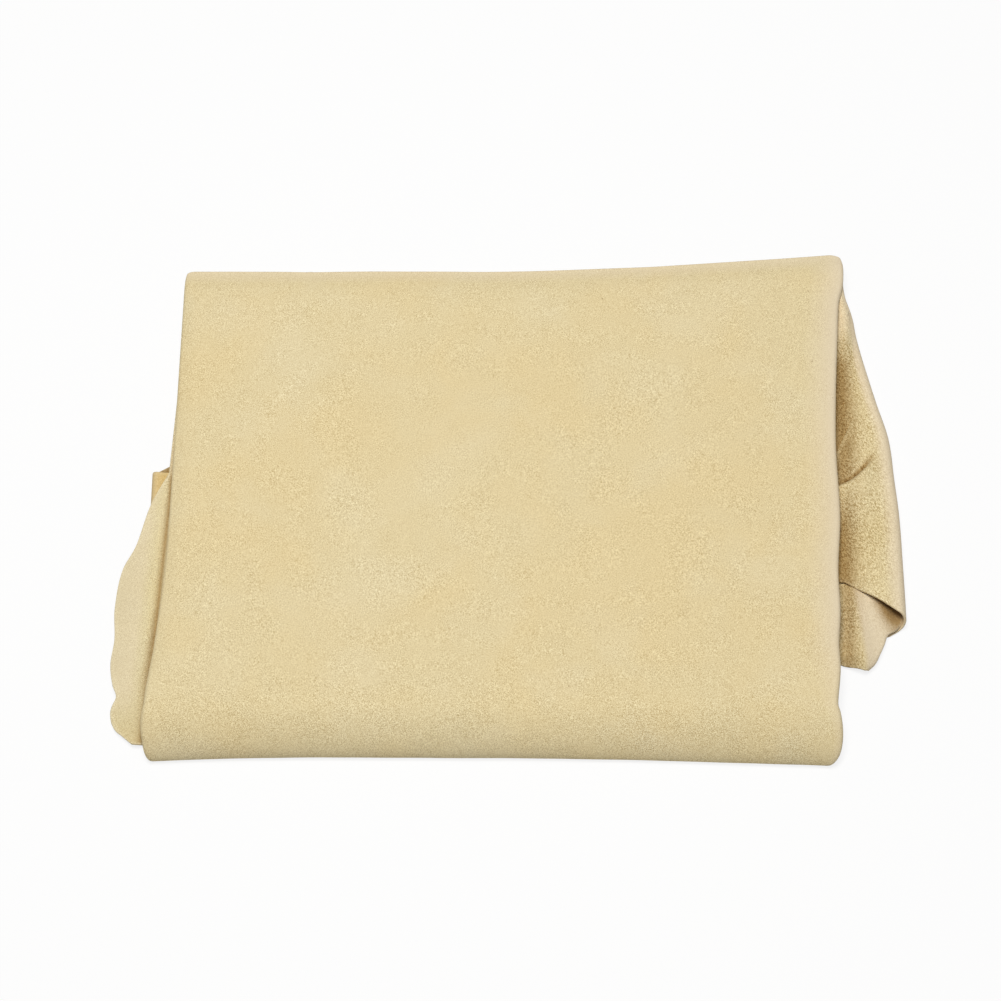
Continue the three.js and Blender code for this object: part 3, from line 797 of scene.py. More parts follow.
def hide_specks_group():
    """Tiny dark pores, thinly spread."""
    group, start, end = new_group("hide_specks", {"Place": "Vector"}, {"Mask": "Float"})
    pores = add_node(
        group, "ShaderNodeTexVoronoi", {"Vector": start.outputs["Place"]},
        inputs={"Scale": PORE_CELLS, "Randomness": 1.0},
    )
    near = range_node(group, pores.outputs["Distance"], *PORE_EDGE, 1.0, 0.0)
    split = add_node(group, "ShaderNodeSeparateColor", {0: pores.outputs["Color"]})
    chosen = math_node(group, "GREATER_THAN", split.outputs[0], PORELESS_SHARE)
    group.links.new(math_node(group, "MULTIPLY", near, chosen), end.inputs["Mask"])
    return group


def suede_material(name, groups, colors, grain, coarse, nap_depth, tip_contrast, back_tan_and_shade, rim_light):
    """One finish of the skin: mottled colour, nap, painted shade in folds and hollows, raw edges and specks.
    """
    material = bpy.data.materials.new(name)
    tree = empty_tree(material)
    place = add_node(tree, "ShaderNodeAttribute", attribute_name="skin_place").outputs["Vector"]
    painted_shade, raw_edge, skin_side, worn = [
        add_node(tree, "ShaderNodeAttribute", attribute_name=mark).outputs["Fac"]
        for mark in ("painted_shade", "raw_edge", "skin_side", "worn")
    ]
    nap, mottling, specks = [
        add_node(tree, "ShaderNodeGroup", {"Place": place}, node_tree=groups[effect])
        for effect in ("nap", "mottling", "specks")
    ]
    nap.inputs["Grain"].default_value = grain
    nap.inputs["Coarse"].default_value = coarse
    for socket, color in zip(("Plain", "Warm", "Pale"), colors):
        mottling.inputs[socket].default_value = linear(color)
    mottling.inputs["Amount"].default_value = MOTTLING

    color = layered(tree, mottling.outputs["Color"], [
        (math_node(tree, "MULTIPLY", worn, WORN_SHARE), WORN),
        # the back's tan: partly the skin's own colour, partly painted shade in the leg's mouth
        (math_node(tree, "MULTIPLY", skin_side, back_tan_and_shade), DEEP_TAN),
        # painted shade in folds, hollows and gaps, darkest in the leg's mouth
        (range_node(tree, painted_shade, 0.0, 1.0, 0.0, PAINTED_SHADE_SHARE), DEEP_TAN),
        (range_node(tree, painted_shade, *DEEP_PAINTED_SHADE, 0.0, DEEP_PAINTED_SHADE_SHARE), DARK_TAN),
        (range_node(tree, raw_edge, RAW_RIM_START, 1.0, 0.0, rim_light), RAW_RIM),
        (math_node(tree, "MULTIPLY", specks.outputs["Mask"], SPECK_SHARE), SPECK),
    ])
    calm = range_node(tree, worn, -1.0, 1.0, NAP_STANDING, NAP_WORN)
    opened = range_node(tree, painted_shade, 0.0, 1.0, 1.0, NAP_IN_PAINTED_SHADE)
    strength = math_node(tree, "MULTIPLY", calm, opened)
    swing = math_node(tree, "SUBTRACT", nap.outputs["Tips"], NOISE_MIDDLE)
    tips = math_node(tree, "ADD", math_node(tree, "MULTIPLY", swing, strength), NOISE_MIDDLE, True)
    hollow = tuple(1 - share * tip_contrast for share in HOLLOW_TINT) + (1,)
    tip = tuple(1 + share * tip_contrast for share in TIP_TINT) + (1,)
    color = color_mix(tree, "MULTIPLY", 1.0, color, color_mix(tree, "MIX", tips, hollow, tip))

    height = math_node(tree, "MULTIPLY", nap.outputs["Height"], calm)
    bump = add_node(
        tree, "ShaderNodeBump", {"Height": height}, inputs={"Strength": 1.0, "Distance": nap_depth},
    ).outputs[0]
    roughness = range_node(tree, nap.outputs["Tips"], 0.0, 1.0, HOLLOW_ROUGHNESS, TIP_ROUGHNESS)
    links = {"Base Color": color, "Roughness": roughness, "Normal": bump}
    values = {"Specular IOR Level": SPECULAR, "Sheen Weight": SHEEN, "Sheen Roughness": SHEEN_ROUGHNESS}
    finish = add_node(tree, "ShaderNodeBsdfPrincipled", links, inputs=values)
    finish.inputs["Sheen Tint"].default_value = linear(SHEEN_TINT)
    add_node(tree, "ShaderNodeOutputMaterial", {"Surface": finish.outputs[0]})
    return material


# The pieces of the skin

def turned_columns(flat_steps):
    """Columns of a panel whose sides turn under: shares across the flat, and turns in radians."""
    turns = np.linspace(0, RIM_TURN, RIM_STEPS + 1)[1:]
    even = np.linspace(0, 1, flat_steps + 1)
    flat = even - SIDE_CROWDING * np.sin(2 * math.pi * even) / (2 * math.pi)
    share = np.concatenate([np.zeros(len(turns)), flat, np.ones(len(turns))])
    turn = np.concatenate([-turns[::-1], np.zeros(len(flat)), turns])
    return share, turn


def corner_cut(inside, radius):
    """How far a round corner draws an edge in, at a distance from the other edge."""
    return CORNER_BEND * radius * np.clip(1 - inside / radius, 0, 1) ** 2


def soft_edge(inside, width):
    return np.clip(1 - inside / width, 0, 1) ** 2


def roll_skew(x):
    """How far the roll stands out beyond its radius, along its length."""
    right = ROLL_SKEW_RIGHT * np.maximum(2 * x / PANEL_WIDTH, 0) ** SKEW_BEND
    start = -PANEL_WIDTH / 2 + ROLL_SKEW_LEFT_LENGTH
    left = ROLL_SKEW_LEFT * np.maximum((start - x) / ROLL_SKEW_LEFT_LENGTH, 0) ** 2
    return ROLL_FULLNESS + right + left


def top_face_roll(share, turn):
    """Rows round the front roll, from its foot up to the top panel."""
    angles = np.linspace(0, math.pi, ROLL_STEPS + 1)[:-1, None]
    degrees = np.degrees(angles)
    outer = RIM_BULGE + SKIN / 2
    left = panel_left(ROLL_Y) + outer - smooth_curve(ROLL_END_LEFT)(degrees) * MM
    right = panel_right(ROLL_Y) - outer + smooth_curve(ROLL_END_RIGHT)(degrees) * MM
    x = mix(left, right, share[None, :])
    skin_y, skin_z = roll_section(angles, ROLL_RADIUS + roll_skew(x), Z_ROLL_FOOT, ROLL_NOSE_Z, Z_TOP_UPPER)
    core_top = Z_TOP_UPPER - 2 * TOP_RIM
    core_y, core_z = roll_section(angles, ROLL_RADIUS - 2 * TOP_RIM, INNER_NOSE_Z, INNER_NOSE_Z, core_top)
    turn = turn[None, :] * mix(FOOT_TURN, 1, eased(degrees, 0, FOOT_TURN_END))
    inward = (1 - np.cos(turn)) / 2
    x = x + RIM_BULGE * np.sin(turn)
    return grid_of(x, mix(skin_y, core_y, inward), mix(skin_z, core_z, inward))


def roll_section(angles, reach, foot, nose, top):
    """The roll's section: a tight nose near the table, and a long slack curve up to the top panel."""
    low = angles < math.pi / 2
    out, up = np.sin(angles), np.abs(np.cos(angles))
    slack_out, slack_up = out ** (2 / ROLL_SLACK), up ** (2 / ROLL_SLACK)
    y = np.where(low, ROLL_Y - reach * out, ROLL_Y + ROLL_LEAD - (reach + ROLL_LEAD) * slack_out)
    z = np.where(low, nose - (nose - foot) * up, nose + (top - nose) * slack_up)
    return y, z


def top_face_lid(share, turn):
    """Rows over the top panel, from the roll to the back edge, which turns under."""
    outer = RIM_BULGE + SKIN / 2
    lid_steps = int(round(PANEL_DEPTH / FLAT_STEP))
    along = np.concatenate([np.linspace(0, 1, lid_steps + 1), np.ones(RIM_STEPS)])[:, None]
    rim_turns = np.linspace(0, RIM_TURN, RIM_STEPS + 1)[1:]
    back_turn = np.concatenate([np.zeros(lid_steps + 1), rim_turns])[:, None]
    width = PANEL_WIDTH - 2 * outer
    rough_x = mix(-PANEL_WIDTH / 2, PANEL_WIDTH / 2, share)[None, :]
    cut = corner_cut(share * width, CORNER_ROUND_LEFT) + corner_cut((1 - share) * width, CORNER_ROUND_RIGHT)
    back = panel_back(rough_x) + BACK_FULLNESS - outer - cut[None, :]
    y = mix(ROLL_Y + ROLL_LEAD, back, along)
    left = panel_left(y) + outer + corner_cut(back - y, CORNER_ROUND_LEFT)
    right = panel_right(y) - outer - corner_cut(back - y, CORNER_ROUND_RIGHT)
    x = mix(left, right, share[None, :])
    crown_across = 1 - np.abs(2 * share - 1) ** CROWN_FLATNESS
    crown_along = 1 - np.abs(2 * along - 1) ** CROWN_FLATNESS
    soft = soft_edge(share * width, SOFT_EDGE_LEFT) + soft_edge((1 - share) * width, SOFT_EDGE_RIGHT)
    from_roll = eased(y, ROLL_Y + ROLL_LEAD, ROLL_Y + ROLL_LEAD + SAG_LENGTH)
    side_drop = SIDE_DROP * soft[None, :] * from_roll
    back_drop = BACK_DROP * soft_edge(back - y, SOFT_EDGE_BACK)
    z = Z_TOP_UPPER + PANEL_CROWN * crown_across[None, :] * crown_along - np.maximum(side_drop, back_drop)
    side_turn, back_share = turn[None, :] / math.pi, back_turn / math.pi
    side = side_turn * np.sqrt(1 - back_share ** 2 / 2)
    rear = back_share * np.sqrt(1 - side_turn ** 2 / 2)
    lean = math.pi * np.hypot(side, rear)
    heading = np.arctan2(rear, side)
    x = x + RIM_BULGE * np.cos(heading) * np.sin(lean)
    y = y + RIM_BULGE * np.sin(heading) * np.sin(lean)
    z = z - (z - Z_TOP_LOWER) * (1 - np.cos(lean)) / 2
    return grid_of(x, y, z)


def top_face_wear(share, turn, rows):
    """Handling leaves the right rim paler and smoother, and the back rim a little.

    Below zero the nap stands up, as it does round the roll.
    """
    right = soft_edge((1 - share) * PANEL_WIDTH, WORN_RIGHT) ** WORN_RIGHT_BEND
    across = np.where(turn > 0, 1, np.where(turn < 0, 0, right))[None, :]
    row = np.arange(rows)[:, None]
    past_roll = mix(WORN_ROLL, 1, eased(row - ROLL_STEPS, *WORN_ROLL_SPAN))
    back_start = rows - RIM_STEPS - WORN_BACK_LEAD
    along = np.clip((row - back_start) / WORN_BACK_ROWS, 0, WORN_BACK)
    standing = ROLL_NAP * (1 - eased(row - ROLL_STEPS, *ROLL_NAP_SPAN)) * (1 - across)
    return np.maximum(across * past_roll, along) - standing


def top_face(material):
    """The face of the top panel and the outer ply of the roll, with its rims turned under."""
    share, turn = turned_columns(int(round(PANEL_WIDTH / FLAT_STEP)))
    grid = np.concatenate([top_face_roll(share, turn), top_face_lid(share, turn)])
    grid = relaxed(grid, TOP_SOFTENING)
    calm = np.clip(1 - np.abs(turn) / WAVE_END_TURN, 0, 1)[None, :, None]
    wave = sum(height * waviness(grid, size, seed) for seed, (height, size) in enumerate(TOP_WAVES, 1))
    grid = grid + sheet_normals(grid) * wave[..., None] * calm
    worn = top_face_wear(share, turn, len(grid))
    piece = leather("top_face_leather", grid, (), material, worn=worn)
    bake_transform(piece)
    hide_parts("top_upper_ply", "front_fold_outer")
    return piece


def top_lining(material):
    """The under ply of the top panel and the inner ply of the roll."""
    inset = RIM_BULGE + SKIN / 2 + SEAM
    share = np.linspace(0, 1, LINING_COLUMNS + 1)[None, :]
    angles = np.linspace(0, math.pi, LINING_ROLL_STEPS + 1)[:-1, None]
    drawn = np.sin(angles) ** 2 * LINING_NOSE_INSET + (1 - angles / math.pi) * LINING_FOOT_INSET
    x = mix(panel_left(ROLL_Y) + inset + drawn, panel_right(ROLL_Y) - inset - drawn, share)
    inner_foot, inner_top = Z_ROLL_FOOT + PITCH, Z_TOP_UPPER - PITCH
    roll = grid_of(x, *roll_section(angles, INNER_ROLL_RADIUS, inner_foot, INNER_NOSE_Z, inner_top))
    along = np.linspace(0, 1, LINING_ROWS + 1)[:, None]
    back = panel_back(mix(-PANEL_WIDTH / 2, PANEL_WIDTH / 2, share)) + BACK_FULLNESS - inset
    y = mix(ROLL_Y + ROLL_LEAD, back, along)
    x = mix(panel_left(y) + inset, panel_right(y) - inset, share)
    grid = np.concatenate([roll, grid_of(x, y, top_lower_z(y))])[:, ::-1]
    piece = leather("top_lining_leather", grid, (), material)
    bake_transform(piece)
    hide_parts("top_lower_ply", "front_fold_inner")
    return piece


def middle_face(material):
    """The upper ply of the middle panel, between its loose margins."""
    y = steps_between(ROLL_Y, BACK_FOLD_Y, HIDDEN_STEP)[:, None]
    share = np.linspace(0, 1, HIDDEN_COLUMNS + 1)[None, :]
    x = mix(flap_root(y) + FLAP_STRIP, leg_root(y) - LEG_STRIP, share)
    grid = grid_of(x, y, middle_upper_z(y))
    piece = leather("middle_face_leather", grid, (), material)
    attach(piece, "middle_panel")
    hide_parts("middle_upper_ply")
    return piece


def middle_lining(material):
    """The lower ply of the middle panel, with a raw left edge."""
    y = steps_between(ROLL_Y, BACK_FOLD_Y, HIDDEN_STEP)[:, None]
    share = np.linspace(0, 1, HIDDEN_COLUMNS + 1)[None, :]
    x = mix(-PANEL_WIDTH / 2 + MIDDLE_LEFT_INSET, leg_root(y) - LEG_STRIP, share)
    grid = grid_of(x, y, middle_lower_z(y))
    piece = leather("middle_lining_leather", grid, ("left",), material)
    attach(piece, "middle_panel")
    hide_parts("middle_lower_ply")
    return piece


def base_sides():
    return -PANEL_WIDTH / 2 + BASE_SIDE_INSET, PANEL_WIDTH / 2 - BASE_SIDE_INSET


def base_face(material):
    """The upper ply of the base panel, with its sides turned under."""
    outer = BASE_RIM + SKIN / 2
    share, turn = turned_columns(HIDDEN_COLUMNS)
    left, right = base_sides()
    y = steps_between(ROLL_Y + BASE_SETBACK, BACK_FOLD_Y, HIDDEN_STEP)[:, None]
    x = mix(left + outer, right - outer, share)[None, :] + BASE_RIM * np.sin(turn)[None, :]
    z = Z_BASE_UPPER - BASE_RIM + BASE_RIM * np.cos(turn)[None, :]
    piece = leather("base_face_leather", grid_of(x, y, z), ("front",), material)
    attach(piece, "base_panel")
    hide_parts("base_upper_ply")
    return piece


def back_fold(radius):
    """Rows round the back fold, from the middle panel down to the base panel."""
    inset = BASE_RIM + SKIN / 2 + SEAM
    left, right = base_sides()
    x = np.linspace(left + inset, right - inset, HIDDEN_COLUMNS + 1)[None, :]
    angles = np.linspace(0, math.pi, BACK_FOLD_STEPS + 1)[:, None]
    return grid_of(x, BACK_FOLD_Y + radius * np.sin(angles), BACK_FOLD_Z + radius * np.cos(angles))


def base_lining(material):
    """The lowest ply and the outer ply of the back fold, in one sheet."""
    fold = back_fold(BACK_FOLD_RADIUS)
    y = steps_between(BACK_FOLD_Y, ROLL_Y + BASE_SETBACK, HIDDEN_STEP)[1:, None]
    flat = grid_of(fold[-1:, :, 0], y, Z_BASE_LOWER)
    grid = np.concatenate([fold, flat])[:, ::-1]
    piece = leather("base_lining_leather", grid, ("back", "left", "right"), material)
    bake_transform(piece)
    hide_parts("base_lower_ply", "back_fold_outer")
    return piece


def back_fold_lining(material):
    """The inner ply of the back fold."""
    grid = back_fold(INNER_BACK_FOLD_RADIUS)[:, ::-1]
    piece = leather("back_fold_lining_leather", grid, ("left", "right"), material)
    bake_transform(piece)
    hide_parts("back_fold_inner")
    return piece


def left_flap(material):
    """The raw-edged left margin of the middle panel: it dips at its root, droops and ripples."""
    margin = steps_between(FLAP_BACK_END - FLAP_LENGTH, FLAP_BACK_END, FLAP_STEP)
    y = np.concatenate([margin, steps_between(FLAP_BACK_END, BACK_FOLD_Y, HIDDEN_STEP)[1:]])[:, None]
    along = (FLAP_BACK_END - y) / FLAP_LENGTH
    reach = np.where(along > 0, FLAP_REACH * smooth_curve(FLAP_EDGE)(np.clip(along, 0, 1)), 0)
    share = np.linspace(0, 1, FLAP_COLUMNS + 1)[None, :]
    x = mix(flap_root(y) - SEAM - reach, flap_root(y) + FLAP_STRIP, share)
    outward = flap_root(y) - x
    root_z = middle_upper_z(np.maximum(y, ROLL_Y))
    lowest = ROLL_LOW.z + SKIN
    ease = (root_z - lowest) / (Z_MIDDLE_UPPER - lowest)
    out = np.maximum(outward, 0) / FLAP_REACH
    ripple = FLAP_RIPPLE * np.sin(2 * math.pi * FLAP_RIPPLES * along) * out
    valley = FLAP_VALLEY * bell(outward + FLAP_VALLEY_WIDTH / 3, FLAP_VALLEY_WIDTH)
    valley = valley * eased(along, *FLAP_VALLEY_SPAN)
    z = root_z - (FLAP_DROOP * out ** FLAP_BEND + ripple + valley) * ease
    end_out = eased(outward, FLAP_END_START, FLAP_REACH * FLAP_END_SHARE) ** 2
    grid = grid_of(x, y + FLAP_END_ROUND * end_out * eased(along, *FLAP_END_SPAN), z)
    wave = FLAP_WAVE * waviness(grid, MARGIN_WAVE_SIZE, FLAP_WAVE_SEED)
    grid[..., 2] += wave * np.minimum(out * FLAP_WAVE_GROWTH, 1)
    # painted shadow of the panel's edge along the flap's root, and painted shade where the front end curls
    # down
    spread = mix(FLAP_ROOT_SHADE_BACK, FLAP_ROOT_SHADE_FRONT, eased(along, *FLAP_ROOT_SHADE_SPAN))
    painted_shade = FLAP_ROOT_SHADE * bell(outward + FLAP_ROOT_SHADE_BACK / 2, spread)
    painted_shade = painted_shade + FLAP_END_SHADE * eased(along, *FLAP_END_SHADE_SPAN)
    worn = FLAP_WORN * eased(outward, *FLAP_WORN_OUT) * (1 - eased(along, *FLAP_WORN_END))
    piece = leather("left_flap_leather", grid, ("left", "front"), material, painted_shade, worn)
    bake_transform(piece)
    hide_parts("left_flap")
    return piece


def left_tuck(material):
    """A folded corner of the base panel: out, half round and back, with a slanted back edge."""
    bight = (TUCK_HEIGHT - SKIN) / 2 - ROLL_LOW.z
    turn_start, turn_end = TUCK_TURN
    flat_reach = TUCK_REACH - bight - SKIN / 2
    u = np.linspace(0, 1, TUCK_COLUMNS + 1)[None, :]
    v = np.linspace(0, 1, TUCK_ROWS + 1)[:, None]
    turn = math.pi * np.clip((u - turn_start) / (turn_end - turn_start), 0, 1)
    flat = flat_reach * np.clip(np.minimum(u / turn_start, (1 - u) / (1 - turn_end)), 0, 1)
    out = SEAM + flat + bight * np.sin(turn)
    under = eased(turn, 0, math.pi)
    slant = mix(-TUCK_LAP, TUCK_SLANT, under) * (1 - out / TUCK_REACH)
    y = TUCK_FRONT_END + (TUCK_LENGTH + slant) * v
    z = Z_ROLL_FOOT + bight + bight * np.cos(turn)
    grid = relaxed(grid_of(base_sides()[0] - out, y, z), TUCK_SOFTENING)[:, ::-1]
    # painted shade beside the tuck's root, and over its lower ply, whose inside shows in the fold's open
    # back end
    painted_shade = mix(TUCK_SHADE * bell(out - SEAM, TUCK_SHADE_WIDTH), 1, under)[:, ::-1]
    worn = TUCK_WORN * eased(out, TUCK_REACH * TUCK_WORN_START, TUCK_REACH)[:, ::-1]
    piece = leather("left_tuck_leather", grid, ("front", "back"), material, painted_shade, worn)
    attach(piece, "base_panel")
    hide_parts("left_tuck")
    return piece


def pleated(pleat, out, y, z, turn):
    """The skin in front of a pleat line lies over the skin behind it, with a small overhang."""
    root, advance, bend, run, rise = pleat
    size = rise / LEG_PLEAT[-1]
    place = np.clip(out, -run, run)
    line = root + advance * place + bend * np.maximum(place, 0) ** 2
    before = (line - y) / PLEAT_WIDTH
    fade_start, fade_end = PLEAT_FADE
    fade = (1 - eased(out, run * fade_start, run * fade_end)) * eased(out, *PLEAT_ROOT) * (turn < UPPER_TURN)
    spread = np.exp(-np.abs(line - y) / PLEAT_SPREAD)
    lift = z + rise / 2 * (np.tanh(before) - PLEAT_SINK) * fade * spread
    lap = y + PLEAT_OVERHANG * before * np.exp(-before ** 2) * fade * size
    behind = PLEAT_SHADE * bell(before + PLEAT_SHADE_PLACE, PLEAT_SHADE_WIDTH) * fade * size
    proud = np.where(before > 0, np.exp(-before / (PLEAT_PROUD_WIDTH * size)), 0) * fade
    return lap, lift, behind, proud


def margin_section(turn_span, places, reach, bight, lip):
    """A margin's section: out from under the panel, half round, and back as a short lip."""
    turn_start, turn_end = turn_span
    flat_reach = np.maximum(reach - bight - SKIN / 2, SKIN)
    over = np.clip(places / turn_start, 0, 1)
    turn = math.pi * np.clip((places - turn_start) / (turn_end - turn_start), 0, 1)
    under = np.clip((places - turn_end) / (1 - turn_end), 0, 1)
    strip = LEG_STRIP * np.minimum(places, 0)
    flat = flat_reach * over - np.minimum(lip, flat_reach * LIP_SHARE) * under
    return SEAM + strip + flat + bight * np.sin(turn), over, turn


def section_places(turn_span, strip, over, turn, under):
    """Places round a margin's section: the strip inside its root, out, round and back underneath."""
    start, end = turn_span
    parts = [
        np.linspace(-1, 0, strip + 1)[:-1],
        np.linspace(0, start, over + 1)[:-1],
        np.linspace(start, end, turn + 1)[:-1],
        np.linspace(end, 1, under + 1),
    ]
    return np.concatenate(parts)


def leg_rows():
    """Rows along the leg, closer together where the pleats lie."""
    spans = [np.linspace(start, end, steps, endpoint=False) for start, end, steps in LEG_ROWS]
    return np.concatenate([*spans, [1]])


def leg_heights(out, over, turn, y, v, bight):
    """The leg's height: a valley beside the panel, a rise near its back, and an open mouth in front."""
    back_end = LEG_FRONT_END + LEG_LENGTH
    valley = mix(LEG_VALLEY_FRONT, LEG_VALLEY_BACK, eased(y, *LEG_VALLEY_SPAN))
    valley = valley * (1 - eased(y, back_end - LEG_VALLEY_FADE, back_end))
    dip = valley * bell(out - LEG_VALLEY_PLACE, LEG_VALLEY_WIDTH)
    upper = Z_MIDDLE_UPPER - LEG_DROOP * over ** 2 - dip
    under = np.maximum(upper - 2 * bight, Z_ROLL_FOOT)
    z = mix(upper, under, (1 - np.cos(turn)) / 2)
    at_mouth = 1 - eased(v, 0, LEG_MOUTH_LENGTH)
    seat = LEG_MOUTH_SEAT * at_mouth * (1 - eased(out, *LEG_MOUTH_SEAT_OUT))
    rise = LEG_RISE * bell(out - LEG_RISE_WIDTH / 3, LEG_RISE_WIDTH)
    rise = rise * mix(LEG_RISE_LEAST, 1, eased(y, *LEG_RISE_SPAN))
    gape = LEG_MOUTH_LIFT * at_mouth * eased(out, *LEG_MOUTH_LIFT_OUT)
    return z + (rise - seat) * (turn < UPPER_TURN) + gape * (1 + np.cos(turn)) / 2


def leg_shade(out, y, turn, proud):
    """Shade in the leg's valley beside the panel, which a proud pleat lightens."""
    upper_part = eased(y, *LEG_SHADE_SPAN)
    middle, width = mix(*LEG_SHADE_PLACE, upper_part), mix(*LEG_SHADE_WIDTH, upper_part)
    deep = smooth_curve(LEG_SHADE)(y / MM) * bell(out - middle, width) * (turn < UPPER_TURN)
    return deep * (1 - proud)


def right_leg(material):
    """The leg of the skin on the right: pleated, wrapped round, and open at its raw front end."""
    u = section_places(LEG_TURN, *LEG_COLUMNS)[None, :]
    v = leg_rows()[:, None]
    reach = LEG_REACH * smooth_curve(LEG_EDGE)(v)
    full_bight = (Z_MIDDLE_UPPER - LEG_DROOP - Z_ROLL_FOOT) / 2
    bight = np.minimum(full_bight, np.maximum(reach * LEG_BIGHT_SHARE, SKIN))
    out, over, turn = margin_section(LEG_TURN, u, reach, bight, LEG_LIP)
    cut = LEG_CUT_LEAD - LEG_CUT * np.clip(u, 0, LEG_CUT_SHARE) ** LEG_CUT_BEND
    y = LEG_FRONT_END + LEG_LENGTH * v + cut * (1 - v) ** 2
    z = leg_heights(out, over, turn, y, v, bight)
    y, z, behind_pleat, proud = pleated(LEG_PLEAT, out, y, z, turn)
    y, z, behind_crease, crest = pleated(LEG_CREASE, out, y, z, turn)
    tucked = LEG_BACK_TUCK * eased(y, LEG_BACK_TUCK_START, LEG_FRONT_END + LEG_LENGTH)
    grid = grid_of(leg_root(y) + out - tucked, y, z)
    wave = LEG_WAVE * waviness(grid, MARGIN_WAVE_SIZE, LEG_WAVE_SEED)
    grid[..., 2] += wave * np.clip(out / LEG_WAVE_START, 0, 1)
    shade = np.maximum(leg_shade(out, y, turn, proud), np.maximum(behind_pleat, behind_crease))
    shade = shade * (1 - LEG_CREST_LIGHT * crest)
    worn_tip = LEG_WORN_TIP * eased(y, *LEG_WORN_TIP_SPAN)
    worn = np.maximum(eased(u, LEG_WORN_START, LEG_WORN_END), worn_tip)
    piece = leather("right_leg_leather", grid, ("front", "right", "back"), material, shade, worn)
    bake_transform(piece)
    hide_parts("right_leg")
    return piece


def tab_heights(out, over, turn, y, v, crest):
    """The tab's height: a ridge along it, slopes to both sides, and a front end that droops to the table."""
    in_leg = eased(y, *TAB_RIDGE_SPAN)
    ridge = TAB_RIDGE * mix(1, TAB_RIDGE_IN_LEG, in_leg) * bell(out - crest, TAB_RIDGE_WIDTH)
    valley = TAB_VALLEY * bell(out - TAB_VALLEY_PLACE, TAB_RIDGE_WIDTH)
    slope = TAB_RIDGE * eased(out, TAB_RIDGE_PLACE, TAB_REACH)
    shape = np.where(turn > 0, 0, ridge) - slope - valley
    z = Z_MIDDLE_LOWER - TAB_DROOP * over ** 2 + shape - TAB_BIGHT * (1 - np.cos(turn))
    z = z - TAB_END_DROOP * np.clip(1 - v / TAB_END_LENGTH, 0, 1) ** 2
    z = z + TAB_RISE_IN_LEG * eased(y, *TAB_RISE_SPAN) * eased(out, *TAB_RISE_OUT)
    return np.maximum(z, SKIN / 2)


def tab_shade(out, y, turn):
    """Shade on the tab: beside the panel, and deep in the leg's mouth."""
    mouth = out - MOUTH_SHADE_REACH - MOUTH_SHADE_SLOPE * (MOUTH_SHADE_Y - y)
    depth = mix(*MOUTH_SHADE_DEPTH, eased(y, *MOUTH_SHADE_DEEPENING)) * eased(y, *MOUTH_SHADE_START)
    lost = MOUTH_SHADE_LOST * eased(turn, 0, MOUTH_SHADE_LOST_TURN)
    hollow = depth * eased(mouth, *MOUTH_SHADE_EDGE) * (1 - lost)
    return np.maximum(TAB_SHADE * bell(out - TAB_SHADE_PLACE, TAB_SHADE_WIDTH), hollow)


def right_tab(material):
    """The margin that comes out of the leg's open end: a ridge along it, and a round front end."""
    u = section_places(TAB_TURN, *TAB_COLUMNS)[None, :]
    v = (np.linspace(0, 1, TAB_ROWS) ** TAB_ROW_CROWDING)[:, None]
    reach = TAB_REACH * smooth_curve(TAB_EDGE)(v)
    out, over, turn = margin_section(TAB_TURN, u, reach, TAB_BIGHT, TAB_LIP)
    slant = TAB_SLANT * np.maximum(1 - out / TAB_SLANT_REACH, 0) * (1 - v) ** 2
    corner = TAB_CORNER_ROUND * eased(out, reach * TAB_CORNER_START, reach) ** 2 * (1 - v) ** TAB_CORNER_FADE
    setback = TAB_LIP_SETBACK * eased(turn, 0, math.pi) * (1 - v) ** TAB_LIP_FADE
    y = TAB_FRONT_END + TAB_LENGTH * v + slant + corner + setback
    crest = TAB_RIDGE_PLACE - TAB_RIDGE_DRIFT * (y - TAB_FRONT_END)
    grid = grid_of(leg_root(y) + out, y, tab_heights(out, over, turn, y, v, crest))
    shade = tab_shade(out, y, turn)
    worn = eased(out, crest, crest + TAB_WORN_WIDTH)
    raw_sides = ("front", "right", "back")
    piece = leather("right_tab_leather", grid, raw_sides, material, shade, worn)
    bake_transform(piece)
    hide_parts("right_leg_tab")
    return piece


# The studio

def pale_floor():
    """A white floor that glows a little to the camera, so that it stays white round soft shadows."""
    corners = [(x * FLOOR_HALF, y * FLOOR_HALF, 0) for x, y in ((-1, -1), (1, -1), (1, 1), (-1, 1))]
    mesh = bpy.data.meshes.new("floor")
    mesh.from_pydata(corners, [], [(0, 1, 2, 3)])
    material = bpy.data.materials.new("pale_floor")
    tree = empty_tree(material)
    path = add_node(tree, "ShaderNodeLightPath")
    matte = add_node(tree, "ShaderNodeBsdfDiffuse", inputs={"Color": FLOOR_COLOR})
    glow = add_node(tree, "ShaderNodeEmission", inputs={"Color": WHITE, "Strength": FLOOR_GLOW})
    seen = math_node(tree, "MULTIPLY", path.outputs["Is Camera Ray"], FLOOR_GLOW_SHARE)
    both = add_node(tree, "ShaderNodeMixShader", {0: seen, 1: matte.outputs[0], 2: glow.outputs[0]})
    add_node(tree, "ShaderNodeOutputMaterial", {"Surface": both.outputs[0]})
    mesh.materials.append(material)
    placed("floor", mesh)


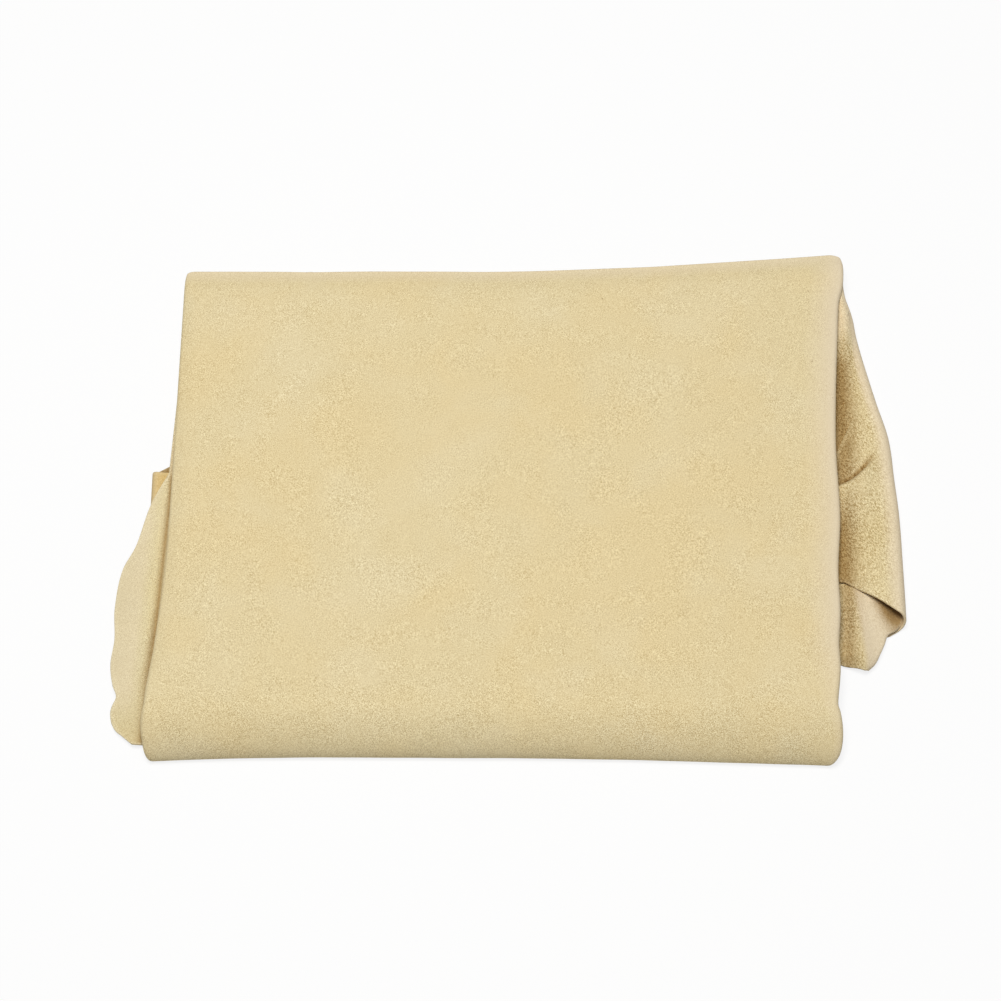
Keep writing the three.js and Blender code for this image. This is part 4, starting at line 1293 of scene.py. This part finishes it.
def studio_world():
    """A dim fill light from all round, which the camera sees as white."""
    world = bpy.data.worlds.new("studio")
    bpy.context.scene.world = world
    tree = empty_tree(world)
    seen = add_node(tree, "ShaderNodeLightPath").outputs["Is Camera Ray"]
    fill = add_node(tree, "ShaderNodeBackground", inputs={"Color": FILL_COLOR, "Strength": FILL_STRENGTH})
    white = add_node(tree, "ShaderNodeBackground", inputs={"Color": WHITE, "Strength": 1.0})
    both = add_node(tree, "ShaderNodeMixShader", {0: seen, 1: fill.outputs[0], 2: white.outputs[0]})
    add_node(tree, "ShaderNodeOutputWorld", {"Surface": both.outputs[0]})


def soft_light(name, place, size, power, color):
    """A square lamp that looks at the origin."""
    lamp = bpy.data.lights.new(name, "AREA")
    lamp.size = size
    lamp.energy = power
    lamp.color = color
    holder = placed(name, lamp)
    holder.location = place
    holder.rotation_euler = (-Vector(place)).to_track_quat("-Z", "Y").to_euler()


def photo_camera():
    """The photograph's view, from above the table and over the front roll."""
    camera = bpy.data.cameras.new("camera")
    camera.lens = CAMERA_LENS
    camera.sensor_width = CAMERA_SENSOR
    away = Vector((0, -math.cos(CAMERA_ELEVATION), math.sin(CAMERA_ELEVATION)))
    holder = placed("camera", camera)
    holder.location = Vector(PLAN_ORIGIN + np.array(CAMERA_TARGET)) + CAMERA_DISTANCE * away
    holder.rotation_euler = (math.pi / 2 - CAMERA_ELEVATION, 0, 0)
    bpy.context.scene.camera = holder


def main():
    groups = {"nap": suede_nap_group(), "mottling": hide_mottling_group(), "specks": hide_specks_group()}
    suede = {name: suede_material(name, groups, **finish) for name, finish in FINISHES.items()}
    cream, pale, tan, ochre = suede.values()

    photo_camera()
    top_face(cream)
    top_lining(pale)
    middle_face(pale)
    middle_lining(cream)
    fold_lining = back_fold_lining(cream)
    base_face(cream)
    base_lining(pale)
    left_flap(pale)
    left_tuck(ochre)
    right_leg(tan)
    right_tab(tan)
    pale_floor()
    studio_world()
    soft_light("key", **KEY_LIGHT)
    bpy.context.scene.view_settings.view_transform = "Standard"


main()
